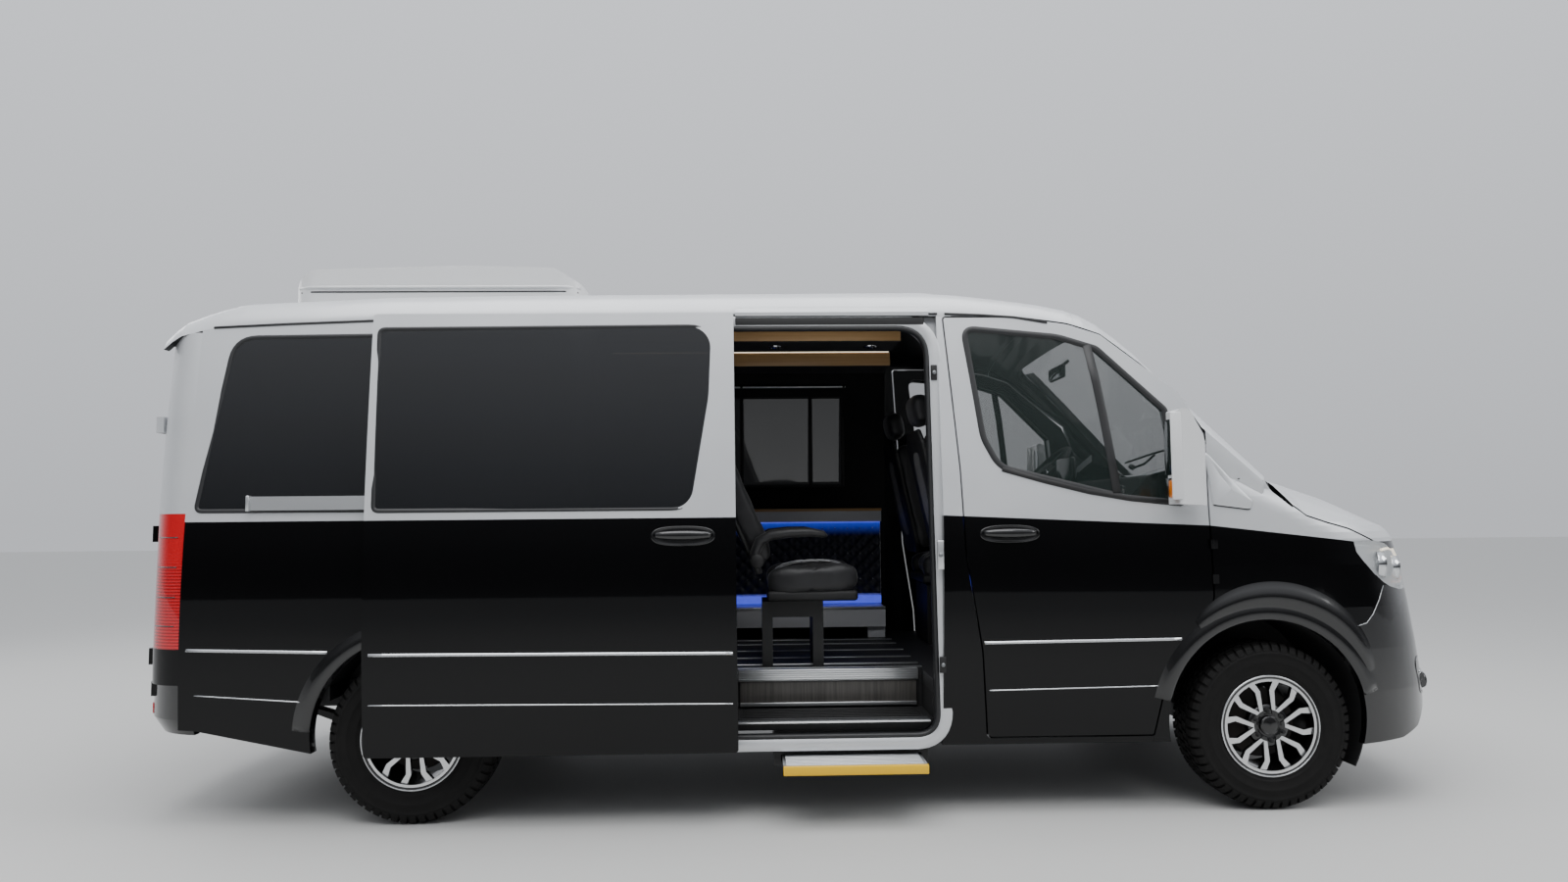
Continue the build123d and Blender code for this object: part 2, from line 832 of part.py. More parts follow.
rail_bottom_z = 1322
rail_top_z = 1380
rail_rear_x = R - 694
rail_front_x = R + 640
rail_ribbon = side_ribbon(rail_rear_x, rail_front_x, RIGHT, -18, 17.7)
with BuildPart() as door_rail:
    add(rail_ribbon)
    with Locations((0, -1000, (rail_bottom_z + rail_top_z) / 2)):
        Box(6000, 200, rail_top_z - rail_bottom_z, mode=Mode.INTERSECT)

arm_levels = (325, 2135)
arm_reach = door_slide_out + rebate_depth - wall_thickness + 5
with BuildPart() as door_arms:
    for z in arm_levels:
        with Locations((slide_door_front_x - 60, -(side_y(z) - rebate_depth), z)):
            Box(60, arm_reach + 20, 14, align=(Align.CENTER, Align.MAX, Align.CENTER))
    with Locations((slide_door_front_x - 1440, -1031, 1350)):
        Box(120, 70, 30)
    add([slide_ribbon, door_rail.part, side_panel_right.part], mode=Mode.SUBTRACT)

# Rear end
lean_total = 28
floor_rear_x = R - 1080


def rear_x(z):
    """Rear face of the body: upright to the belt, then leaning forward."""
    rise = max(0, z - belt_z) / (2110 - belt_z)
    return rear_face_x + lean_total * rise ** 2


def corner_post(inset, thickness, levels):
    """Corner of the body behind the side panel, curved from the side to the rear face."""
    post_y = rear_door_half + shut_gap
    with BuildPart() as post:
        for z in levels:
            with BuildSketch(Plane.XY.offset(z)):
                with BuildLine():
                    ends = []
                    for depth in (inset, inset + thickness):
                        start = (panel_rear_x, -(side_y(z) - depth))
                        end = (rear_x(z) + depth, -post_y)
                        middle = (
                            start[0] - 0.707 * (start[0] - end[0]),
                            start[1] + 0.293 * (end[1] - start[1]),
                        )
                        ThreePointArc(start, middle, end)
                        ends.append((start, end))
                    Line(ends[0][0], ends[1][0])
                    Line(ends[0][1], ends[1][1])
                make_face()
        loft(ruled=True)
    return post.part


post_levels = (595, waist_z + 4, belt_z + 30, mid_z, 2100)
tail_lamp_z = (744, 1310)
tail_lamp_depth = 30
lamp_band = ((R - 1100), -900, sum(tail_lamp_z) / 2)
lamp_height = tail_lamp_z[1] - tail_lamp_z[0]
tail_lamp_skin = corner_post(0, tail_lamp_depth, post_levels)
tail_lamp_pocket = overlap(
    corner_post(-2, tail_lamp_depth + 2 + running_fit, post_levels),
    Pos(*lamp_band) * Box(400, 400, lamp_height + 2 * running_fit),
)
post_blank = corner_post(0, wall_thickness, post_levels)

with BuildPart() as corner_right:
    add(post_blank)
    add([tail_lamp_pocket, roof_line_prism], mode=Mode.SUBTRACT)

with BuildPart() as rear_frame_blank:
    add(corner_right.part)
    mirror(corner_right.part, about=Plane.XZ)
    with Locations(((rear_face_x + 10 + floor_rear_x) / 2, 0, 566)):
        Box(floor_rear_x - rear_face_x - 10, 2 * (rear_door_half + 90), 62)
    add(rear_bumper.part, mode=Mode.SUBTRACT)
with BuildPart() as rear_frame:
    add(largest(rear_frame_blank.part))

with BuildPart() as tail_lamps:
    add(tail_lamp_skin)
    with Locations(lamp_band):
        Box(400, 400, lamp_height, mode=Mode.INTERSECT)
    mirror(tail_lamps.part, about=Plane.XZ)

leaf_window = (130, 1330, 690, 2000)
with BuildPart() as leaf_blank:
    with BuildSketch(Plane.XZ.offset(3.5)):
        with BuildLine():
            skin = [(rear_x(z), z) for z in (rear_door_bottom_z, belt_z, mid_z, 2120)]
            Line(skin[0], skin[1])
            ThreePointArc(*skin[1:])
            Polyline(
                skin[3],
                (skin[3][0] + rear_door_thickness, 2120),
                (rear_face_x + rear_door_thickness, rear_door_bottom_z),
                skin[0],
            )
        make_face()
    extrude(amount=rear_door_half - 3.5)
    with BuildSketch(Plane.YZ.offset(rear_face_x - 50)):
        with BuildLine():
            top = ThreePointArc((-900, 2016), (0, 2106), (900, 2016))
            Polyline(top @ 1, (900, 500), (-900, 500), top @ 0)
        make_face()
    extrude(amount=300, mode=Mode.INTERSECT)

leaf_y0, leaf_z0, leaf_y1, leaf_z1 = leaf_window
with BuildPart() as leaf_window_prism:
    with BuildSketch(Plane.YZ.offset(rear_face_x - 50)):
        with Locations((-(leaf_y0 + leaf_y1) / 2, (leaf_z0 + leaf_z1) / 2)):
            RectangleRounded(leaf_y1 - leaf_y0, leaf_z1 - leaf_z0, 70)
    extrude(amount=300)

with BuildPart() as rear_door_right:
    add(leaf_blank.part)
    add(leaf_window_prism.part, mode=Mode.SUBTRACT)

with BuildPart() as rear_glass_right:
    add(leaf_blank.part)
    add(leaf_window_prism.part, mode=Mode.INTERSECT)
    add(Pos(1 + glass_thickness, 0, 0) * leaf_blank.part, mode=Mode.SUBTRACT)
    add(Pos(1, 0, 0) * leaf_blank.part, mode=Mode.INTERSECT)

with BuildPart() as rear_door_left:
    mirror(rear_door_right.part, about=Plane.XZ)
with BuildPart() as rear_glass_left:
    mirror(rear_glass_right.part, about=Plane.XZ)

# Roof air conditioner
ac_rear_x = R - 738
ac_front_x = R + 647
ac_half = 560
with BuildPart() as roof_ac:
    with BuildSketch(Plane.XZ):
        with BuildLine():
            FilletPolyline(
                (ac_rear_x, 2286),
                (ac_rear_x, 2366),
                (ac_rear_x + 45, 2425),
                (ac_rear_x + 120, 2462),
                (R + 70, 2478),
                (R + 500, 2468),
                (ac_front_x - 20, 2392),
                (ac_front_x, 2368),
                (ac_front_x, 2314),
                radius=[0, 20, 60, 80, 300, 60, 10, 10, 0],
                close=True,
            )
        make_face()
    extrude(amount=ac_half, both=True)
    with BuildSketch(Plane.XY.offset(2200)):
        with Locations(((ac_rear_x + ac_front_x) / 2, 0)):
            RectangleRounded(ac_front_x - ac_rear_x, 2 * ac_half, 120)
    extrude(amount=400, mode=Mode.INTERSECT)
    add(arch_shell(roof_stations, 0, 300), mode=Mode.SUBTRACT)

# Floor, step well, wheel houses
floor_half = 925
floor_front_x = F - 440
with BuildPart() as wheel_house:
    with BuildSketch(Plane.XZ.offset(-floor_half)):
        with Locations((R, rear_arch_z)):
            Circle(rear_arch_radius + 22)
            Circle(rear_arch_radius + 2, mode=Mode.SUBTRACT)
    extrude(amount=floor_half - 690)
    with BuildSketch(Plane.XZ.offset(-690)):
        with Locations((R, rear_arch_z)):
            Circle(rear_arch_radius + 22)
    extrude(amount=20)
    with Locations((R, 800, floor_top_z - 500)):
        Box(1200, 600, 1000, mode=Mode.SUBTRACT)
left_house = largest(wheel_house.part - mirror(right_ribbon, about=Plane.XZ))
with BuildPart() as wheel_houses:
    add([left_house, mirror(left_house, about=Plane.XZ)])

with BuildPart() as well_block:
    with Locations(((well_rear_x + well_front_x) / 2, -1000, (step_tread_z + 1000) / 2)):
        Box(well_front_x - well_rear_x, 2 * (1000 - step_edge_y), 1000 - step_tread_z)

with BuildPart() as floor_blank:
    with Locations(((floor_rear_x + floor_front_x) / 2, 0, floor_top_z - floor_thickness / 2)):
        Box(floor_front_x - floor_rear_x, 2 * floor_half, floor_thickness)
    with Locations((R, 860, 500), (R, -860, 500)):
        Box(2 * rear_arch_radius - 110, 300, 400, mode=Mode.SUBTRACT)
    add(well_block.part, mode=Mode.SUBTRACT)
    for x0, x1, side in (
        (panel_rear_x + 40, R - 470, 1),
        (panel_rear_x + 40, R - 470, -1),
        (R + 470, b_pillar_x - 120, 1),
        (R + 470, F - 3000, -1),
    ):
        with Locations(((x0 + x1) / 2, side * 940, 546)):
            Box(x1 - x0, 60, 28)
    add([right_ribbon, rear_bumper.part], mode=Mode.SUBTRACT)
    mirror(right_ribbon, about=Plane.XZ, mode=Mode.SUBTRACT)
with BuildPart() as floor_pan:
    add(largest(floor_blank.part))

# Tray of the entry step, and the sills under the edges of the floor
well_wall = 25
sill_thickness = 40
sill_height = 180
sill_y = floor_half - sill_thickness / 2
sill_top_z = floor_top_z - floor_thickness
sill_rear_x = R + 460
sill_front_x = F - 540
with BuildPart() as well_blank:
    with Locations(((well_rear_x + well_front_x) / 2, -floor_half, step_tread_z - sill_thickness)):
        Box(
            well_front_x - well_rear_x + 2 * well_wall,
            floor_half - step_edge_y + 20,
            sill_top_z - step_tread_z + sill_thickness,
            align=(Align.CENTER, Align.MIN, Align.MIN),
        )
    add([well_block.part, right_ribbon], mode=Mode.SUBTRACT)
# Weld gaps between the bottom, the back and the two ends of the tray
weld_gap = 0.4
with BuildPart() as well_tray:
    add(largest(well_blank.part))
    with Locations(
        (well_rear_x - weld_gap / 2, -floor_half, step_tread_z), (well_front_x + weld_gap / 2, -floor_half, step_tread_z)
    ):
        Box(weld_gap, 2 * floor_half, 2 * sill_top_z, mode=Mode.SUBTRACT)
    with Locations(((well_rear_x + well_front_x) / 2, -floor_half, step_tread_z - weld_gap / 2)):
        Box(well_front_x - well_rear_x, 2 * floor_half, weld_gap, mode=Mode.SUBTRACT)
with BuildPart() as sills_and_well:
    add(well_tray.part)
    for x0, x1, y in (
        (sill_rear_x, sill_front_x, sill_y),
        (sill_rear_x, well_rear_x - well_wall - 1, -sill_y),
        (well_front_x + well_wall + 1, sill_front_x, -sill_y),
    ):
        with Locations(((x0 + x1) / 2, y, sill_top_z)):
            Box(x1 - x0, sill_thickness, sill_height, align=(Align.CENTER, Align.CENTER, Align.MAX))

# Chassis
rail_y = 480
king_y = 775
king_radius = 12
with BuildPart() as chassis_blank:
    for side in (RIGHT, LEFT):
        with Locations(((tail_x + 60 + F + 910) / 2, side * rail_y, 465)):
            Box(F + 910 - tail_x - 60, 80, 90)
    with Locations(*[(x, 0, 465) for x in (tail_x + 90, R - 560, R + 600, F - 1300, F - 380, F + 740)]):
        Box(70, 2 * rail_y, 70)
    with Locations((F, 0, 300)):
        Box(240, 760, 90)
    with Locations((F, 405, 370), (F, -405, 370)):
        Box(100, 80, 110)
    for side in (RIGHT, LEFT):
        with BuildSketch(Plane.XY.offset(195)):
            with BuildLine():
                Polyline(
                    (F - 150, side * 350),
                    (F + 150, side * 350),
                    (F + 30, side * 740),
                    (F + 30, side * 800),
                    (F - 30, side * 800),
                    (F - 30, side * 740),
                    close=True,
                )
            make_face()
        extrude(amount=30)
        with Locations((F, side * 350, 245)):
            Box(200, 60, 60)
    add([front_bumper.part, rear_bumper.part], mode=Mode.SUBTRACT)
    with Locations((F, king_y, 220), (F, -king_y, 220)):
        Cylinder(king_radius, 295, align=(Align.CENTER, Align.CENTER, Align.MIN))
with BuildPart() as chassis:
    add(largest(chassis_blank.part))

with BuildPart() as knuckle_right:
    with Locations((F, -king_y, tyre_radius + 5)):
        Box(110, 50, 260)
    with BuildSketch(Plane.XZ.offset(king_y + 25)):
        with Locations((F, tyre_radius)):
            Circle(60)
    extrude(amount=40)
    with BuildSketch(Plane.XZ.offset(king_y + 65)):
        with Locations((F, tyre_radius)):
            Circle(150)
    extrude(amount=28)
    with BuildSketch(Plane.XZ.offset(king_y + 93)):
        with Locations((F, tyre_radius)):
            Circle(spindle_radius)
    extrude(amount=80)
    with Locations((F + 97, -(king_y + 79), tyre_radius)):
        Box(56, 60, 120)
    with Locations((F, -king_y, tyre_radius)):
        Cylinder(king_radius + running_fit, 400, mode=Mode.SUBTRACT)
with BuildPart() as knuckle_left:
    mirror(knuckle_right.part, about=Plane.XZ)

spring_y = 480
with BuildPart() as rear_axle:
    with BuildSketch(Plane.XZ.offset(-king_y - 93)):
        with Locations((R, tyre_radius)):
            Circle(42)
    extrude(amount=2 * (king_y + 93))
    for side in (RIGHT, LEFT):
        with BuildSketch(Plane.XZ.offset(-side * (king_y + 65))):
            with Locations((R, tyre_radius)):
                Circle(150)
        extrude(amount=-side * 28)
        with BuildSketch(Plane.XZ.offset(-side * (king_y + 93))):
            with Locations((R, tyre_radius)):
                Circle(spindle_radius)
        extrude(amount=-side * 80)
    with Locations((R, 0, tyre_radius)):
        Sphere(135)

with BuildPart() as leaf_springs:
    for side in (RIGHT, LEFT):
        with BuildSketch(Plane.XZ.offset(-side * (spring_y - 35))):
            with BuildLine():
                upper = ThreePointArc((R - 620, 420), (R, 314), (R + 620, 420))
                lower = ThreePointArc((R - 620, 395), (R, 268), (R + 620, 395))
                Line(upper @ 0, lower @ 0)
                Line(upper @ 1, lower @ 1)
            make_face()
        extrude(amount=-side * 70)
    add([rear_axle.part, chassis.part], mode=Mode.SUBTRACT)

with BuildPart() as engine:
    with Locations((F + 330, 0, 345)):
        Box(700, 620, 655, align=(Align.CENTER, Align.CENTER, Align.MIN))

with BuildPart() as underbody:
    with Locations((R + 1000, 130, floor_top_z - floor_thickness)):
        Box(600, 500, 190, align=(Align.CENTER, Align.CENTER, Align.MAX))
    with Locations((R + 950, -270, floor_top_z - floor_thickness)):
        Box(500, 220, 165, align=(Align.CENTER, Align.CENTER, Align.MAX))
    with BuildSketch(Plane.YZ.offset(F - 350)):
        with Locations((-270, 380)):
            Circle(30)
    extrude(amount=-(F - 350 - R - 480))

# Wheels
with BuildPart() as tyre_blank:
    with BuildSketch(Plane.YZ):
        with BuildLine():
            half = tyre_width / 2
            bead = rim_seat_radius + running_fit
            Line((-92, bead), (-92, 220))
            ThreePointArc((-92, 220), (-half, 280), (-104, 335))
            ThreePointArc((-104, 335), (-98, 347), (-84, 352))
            ThreePointArc((-84, 352), (0, tyre_radius), (84, 352))
            ThreePointArc((84, 352), (98, 347), (104, 335))
            ThreePointArc((104, 335), (half, 280), (92, 220))
            Polyline((92, 220), (92, bead), (-92, bead))
        make_face()
    revolve(axis=Axis.Y)

spoke_ends = ((53, 0), (150, 18), (197, 12.8))
spoke_widths = (7, 11, 14)


def spoke_outline(centre_angle, hand):
    """Kinked arm from the hub to the rim, as an outline with two long sides."""
    spine = []
    for radius, angle in spoke_ends:
        turn = math.radians(centre_angle + hand * angle)
        spine.append((radius * math.cos(turn), radius * math.sin(turn)))
    sides = ([], [])
    for i, (x, y) in enumerate(spine):
        before = spine[max(0, i - 1)]
        after = spine[min(2, i + 1)]
        dx, dy = after[0] - before[0], after[1] - before[1]
        length = math.hypot(dx, dy)
        for way, side in ((1, sides[0]), (-1, sides[1])):
            reach = way * spoke_widths[i] / length
            side.append((x - reach * dy, y + reach * dx))
    return sides[0] + sides[1][::-1]


with BuildPart() as rim_blank:
    with BuildSketch(Plane.YZ):
        with BuildLine():
            Polyline(
                (-106, 190), (-106, rim_radius), (-95, rim_radius), (-94, rim_seat_radius),
                (94, rim_seat_radius), (95, rim_radius), (106, rim_radius), (106, 188), close=True,
            )
        make_face()
        with BuildLine():
            Polyline((-84, spindle_radius + running_fit), (-84, 88), (-45, 88), (-20, 75),
                     (-20, spindle_radius + running_fit), close=True)
        make_face()
        with BuildLine():
            Polyline((-97, 0), (-97, 34), (-84, 40), (-84, 0), close=True)
        make_face()
    revolve(axis=Axis.Y)
    for centre_angle in range(6, 366, 60):
        for hand in (1, -1):
            with BuildSketch(Plane.XZ.offset(70)):
                with BuildLine():
                    Polyline(*spoke_outline(centre_angle, hand), close=True)
                make_face()
            extrude(amount=24)

wheels = {}
for name, x, side in (
    ("front_right", F, RIGHT), ("front_left", F, LEFT), ("rear_right", R, RIGHT), ("rear_left", R, LEFT),
):
    turn = 0 if side == RIGHT else 180
    place = Pos(x, side * wheel_centre_y, tyre_radius) * Rot(0, 0, turn)
    wheels["tyre_" + name] = place * tyre_blank.part
    wheels["rim_" + name] = place * rim_blank.part

# Entry step
step_x = F - 1810
step_width = 590
step_front_y = 1166
step_length = 450
board_bottom_z = 226
board_thickness = 30
housing_front_y = 940
housing_bottom_z = 214
with BuildPart() as step_board:
    with Locations((step_x, -step_front_y, board_bottom_z)):
        Box(step_width, step_length, board_thickness, align=(Align.CENTER, Align.MIN, Align.MIN))
with BuildPart() as step_housing:
    with Locations((step_x, -housing_front_y, housing_bottom_z)):
        Box(
            step_width + 70,
            500,
            step_tread_z - 40 - housing_bottom_z,
            align=(Align.CENTER, Align.MIN, Align.MIN),
        )
    with Locations((step_x, -housing_front_y - 5, board_bottom_z - running_fit)):
        Box(
            step_width + 14, 480, board_thickness + 5 + running_fit,
            align=(Align.CENTER, Align.MIN, Align.MIN), mode=Mode.SUBTRACT,
        )
    add(side_panel_right.part, mode=Mode.SUBTRACT)

# Hinge pins of the front doors and hinge barrels of the rear doors
front_hinge = (F - 241.6, half_width + 1.5)
front_door_edge_x = F - 245.4
front_pin_length = 40
pin_fit = 0.5
rear_hinge = (rear_face_x - 10, rear_door_half + shut_gap / 2)
bonnet_hinge = (F + 73, 1535)
barrel_radius = 10.2
with BuildPart() as door_hinges:
    for side in (RIGHT, LEFT):
        for z in (990, 1140):
            edge_distance = math.hypot(
                front_hinge[0] - front_door_edge_x, front_hinge[1] - side_y(z - front_pin_length / 2)
            )
            with Locations((front_hinge[0], side * front_hinge[1], z)):
                Cylinder(edge_distance - pin_fit, front_pin_length)
                Box(
                    24, 34, front_pin_length,
                    align=(Align.MIN, Align.MIN if side == RIGHT else Align.MAX, Align.CENTER),
                )
        for z in (700, 1225, 1700):
            with Locations((rear_hinge[0], side * rear_hinge[1], z)):
                Cylinder(barrel_radius, 70)
            with Locations((rear_hinge[0] - 7, side * (rear_hinge[1] + 4), z)):
                Box(32, 60, 70, align=(Align.MIN, Align.MIN if side == LEFT else Align.MAX, Align.CENTER))
    add([wings.part, rear_frame.part, tail_lamps.part, rear_bumper.part], mode=Mode.SUBTRACT)

# Liners of the front wheel wells
with BuildPart() as wheel_liners:
    for side in (RIGHT, LEFT):
        with BuildSketch(Plane.XZ.offset(-side * 545)):
            with Locations((F + front_arch_offset_x, front_arch_z)):
                Circle(front_arch_radius + 6)
                Circle(front_arch_radius, mode=Mode.SUBTRACT)
        extrude(amount=-side * (969.7 - 545))
        with BuildSketch(Plane.XZ.offset(-side * 540)):
            with Locations((F + front_arch_offset_x, front_arch_z)):
                Circle(front_arch_radius + 6)
        extrude(amount=-side * 5)
    with Locations((F, 0, front_arch_z - 500)):
        Box(1200, 2200, 1000, mode=Mode.SUBTRACT)
    add([front_bumper.part, wings.part], mode=Mode.SUBTRACT)

# Cab interior
with BuildPart() as dashboard_blank:
    with BuildSketch(Plane.XZ.offset(-850)):
        with BuildLine():
            FilletPolyline(
                (F - 500, 1000),
                (F - 560, 1330),
                (F - 440, 1450),
                (F - 150, 1455),
                (F - 60, 1400),
                (F - 60, 1000),
                radius=[20, 60, 60, 40, 10, 10],
                close=True,
            )
        make_face()
    extrude(amount=1700)

steer_at = Pos(F - 560, 450, 1510) * Rot(0, -45, 0)
column_radius = 22
with BuildPart() as steering_blank:
    with BuildSketch(Plane.XZ):
        with Locations((190, 0)):
            Circle(16)
    revolve(axis=Axis.Z)
    Cylinder(60, 40)
    with PolarLocations(0, 3, 0):
        with Locations((115, 0, 0)):
            Box(150, 26, 14)
    Cylinder(column_radius, 190, align=(Align.CENTER, Align.CENTER, Align.MAX))
with BuildPart() as steering_wheel:
    add(steer_at * steering_blank.part)
column_bore = steer_at * Cylinder(
    column_radius + running_fit,
    191,
    align=(Align.CENTER, Align.CENTER, Align.MAX),
)
with BuildPart() as dashboard:
    add(dashboard_blank.part)
    add(column_bore, mode=Mode.SUBTRACT)

# Seats: simple closed solids for the cushions, with their stands
seat_top_z = 1040


def seat(x_front, y, width, length, cushion_top, back_top, back_lean):
    """A cushion and a leaning back as one closed outline, run across its width."""
    with BuildPart() as block:
        with BuildSketch(Plane.XZ.offset(-(y + width / 2))):
            with BuildLine():
                FilletPolyline(
                    (x_front, cushion_top - 20),
                    (x_front - length + 110, cushion_top - 10),
                    (x_front - length + 60 - back_lean, back_top),
                    (x_front - length - 50 - back_lean, back_top - 10),
                    (x_front - length - 20, cushion_top - 170),
                    (x_front - 10, cushion_top - 160),
                    radius=[50, 40, 45, 45, 60, 50],
                    close=True,
                )
            make_face()
        extrude(amount=width)
    return block.part


front_seats = [seat(F - 862, side * 460, 500, 520, 1060, 1790, 90) for side in (RIGHT, LEFT)]
captain_seat = seat(F - 1722, -350, 500, 580, seat_top_z, 1700, 90)
rear_bench = seat(R + 330, 0, 1300, 520, 1020, 1680, 90)
with BuildPart() as seats:
    add([front_seats[0], front_seats[1], captain_seat, rear_bench])
with BuildPart() as seat_stands:
    for x, y, width, top in (
        (F - 1130, -460, 400, 910),
        (F - 1130, 460, 400, 910),
        (F - 2040, -350, 300, seat_top_z - 150),
        (R + 70, 0, 1100, 870),
    ):
        with Locations((x, y, floor_top_z)):
            Box(290, width, top - floor_top_z, align=(Align.CENTER, Align.CENTER, Align.MIN))
            Box(
                190, width + 20, top - floor_top_z - 90, align=(Align.CENTER, Align.CENTER, Align.MIN),
                mode=Mode.SUBTRACT,
            )
    add(seats.part, mode=Mode.SUBTRACT)

# Console and panels along the left wall, ceiling panel and wall linings
console_front_x = F - 1464
console_rear_x = F - 3000
console_x = (console_front_x + console_rear_x) / 2
console_length = console_front_x - console_rear_x
with BuildPart() as side_console:
    with Locations((console_x, 740, 634)):
        Box(console_length, 290, 112, align=(Align.CENTER, Align.CENTER, Align.MIN))
    with Locations((console_front_x - 50, 700, floor_top_z), (console_rear_x + 50, 700, floor_top_z)):
        Box(100, 150, 70, align=(Align.CENTER, Align.CENTER, Align.MIN))
    with Locations((console_x, 835, 740)):
        Box(console_length, 80, 503, align=(Align.CENTER, Align.CENTER, Align.MIN))
    with Locations((console_x, 800, 1240)):
        Box(console_length, 140, 75, align=(Align.CENTER, Align.CENTER, Align.MIN))

ceiling_x = F - 2230
near_rack_z = 2127
far_rack_z = 2103
with BuildPart() as ceiling:
    with Locations((ceiling_x, 0, 2195)):
        Box(1460, 940, 95, align=(Align.CENTER, Align.CENTER, Align.MIN))
    with Locations((ceiling_x, -290, near_rack_z)):
        Box(1460, 360, 90, align=(Align.CENTER, Align.CENTER, Align.MIN))
    with Locations((ceiling_x, 400, far_rack_z)):
        Box(1540, 300, 110, align=(Align.CENTER, Align.CENTER, Align.MIN))
    add(outer_arch, mode=Mode.SUBTRACT)

lining_thickness = 8
lining_ribbon = side_ribbon(
    panel_rear_x + 10,
    F - 1420,
    RIGHT,
    wall_thickness + running_fit,
    lining_thickness,
    2150,
)
lining_window = outline_prism(
    [(F - 2900, 1458, 20), (F - 2900, 2000, 20), (F - 1679, 2000, 20), (F - 1679, 1458, 20)], LEFT
)
quarter_lining_window = outline_prism(
    [(R - 850, 1380, 25), (R - 760, 2040, 60), (R + 600, 2040, 60), (R + 600, 1380, 60)], RIGHT
)
with BuildPart() as lining_blank:
    add(lining_ribbon)
    add([quarter_lining_window, roof_line_prism, rear_bumper.part], mode=Mode.SUBTRACT)
    with Locations((0, -900, floor_top_z + 1)):
        Box(9000, 600, 900, align=(Align.CENTER, Align.CENTER, Align.MAX), mode=Mode.SUBTRACT)
    with Locations((R, -900, rear_arch_z)):
        Box(2 * rear_arch_radius + 60, 600, 2 * (rear_arch_radius + 30), mode=Mode.SUBTRACT)
lining_left = mirror(lining_blank.part, about=Plane.XZ)
with BuildPart() as wall_lining:
    add(lining_blank.part)
    add(opening_prism, mode=Mode.SUBTRACT)
    with Locations((F - 2000, -900, 1300)):
        Box(2 * 1100, 600, 2400, mode=Mode.SUBTRACT)
with BuildPart() as wall_lining_left:
    add(lining_left)
    add(lining_window, mode=Mode.SUBTRACT)
with BuildPart() as linings:
    add([wall_lining.part, wall_lining_left.part])

lower_wall_x = floor_front_x - 16
upper_wall_x = F - 45
with BuildPart() as firewall:
    with Locations((lower_wall_x, 0, floor_top_z)):
        Box(30, 2 * 900, 1000 - floor_top_z, align=(Align.CENTER, Align.CENTER, Align.MIN))
    with Locations((upper_wall_x, 0, 970)):
        Box(30, 2 * 850, 400, align=(Align.CENTER, Align.CENTER, Align.MIN))
    with Locations(((lower_wall_x - 15 + upper_wall_x + 15) / 2, 0, 970)):
        Box(upper_wall_x - lower_wall_x + 30, 2 * 880, 30, align=(Align.CENTER, Align.CENTER, Align.MIN))

pieces = {
    "floor_pan": floor_pan.part,
    "wheel_houses": wheel_houses.part,
    "sills_and_well": sills_and_well.part,
    "chassis": chassis.part,
    "side_panel_right": side_panel_right.part,
    "side_panel_left": side_panel_left.part,
    "side_windows": side_windows.part,
    "roof_panel": roof_panel.part,
    "cab_frame": cab_frame.part,
    "windscreen": windscreen.part,
    "bonnet": bonnet.part,
    "wings": wings.part,
    "headlamps": headlamps.part,
    "front_bumper": front_bumper.part,
    "grille": grille.part,
    "cowl": cowl.part,
    "front_door_right": front_door_right.part,
    "front_door_left": front_door_left.part,
    "front_glass_right": front_glass_right.part,
    "front_glass_left": front_glass_left.part,
    "mirror_right": mirror_right.part,
    "mirror_left": mirror_left.part,
    "sliding_door": sliding_door.part,
    "sliding_door_window": sliding_door_window.part,
    "door_rail": door_rail.part,
    "door_arms": door_arms.part,
    "rear_frame": rear_frame.part,
    "tail_lamps": tail_lamps.part,
    "rear_bumper": rear_bumper.part,
    "rear_door_right": rear_door_right.part,
    "rear_door_left": rear_door_left.part,
    "rear_glass_right": rear_glass_right.part,
    "rear_glass_left": rear_glass_left.part,
    "roof_ac": roof_ac.part,
    "knuckle_right": knuckle_right.part,
    "knuckle_left": knuckle_left.part,
    "rear_axle": rear_axle.part,
    "leaf_springs": leaf_springs.part,
    "engine": engine.part,
    "underbody": underbody.part,
    "step_board": step_board.part,
    "step_housing": step_housing.part,
    "door_hinges": door_hinges.part,
    "wheel_liners": wheel_liners.part,
    "firewall": firewall.part,
    "seats": seats.part,
    "seat_stands": seat_stands.part,
    "side_console": side_console.part,
    "ceiling": ceiling.part,
    "wall_lining": linings.part,
    "dashboard": dashboard.part,
    "steering_wheel": steering_wheel.part,
}
pieces.update(wheels)
for name, piece in pieces.items():
    piece.label = name
    export_step(piece, "parts/" + name + ".step")
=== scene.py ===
"""Passenger van on its wheels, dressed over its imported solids. Metres; +X nose, +Y left side, +Z up."""
from math import atan2, copysign, cos, degrees, hypot, pi, radians, sin, sqrt, tan

import bmesh
import bpy
from mathutils import Matrix, Vector
from mathutils.bvhtree import BVHTree


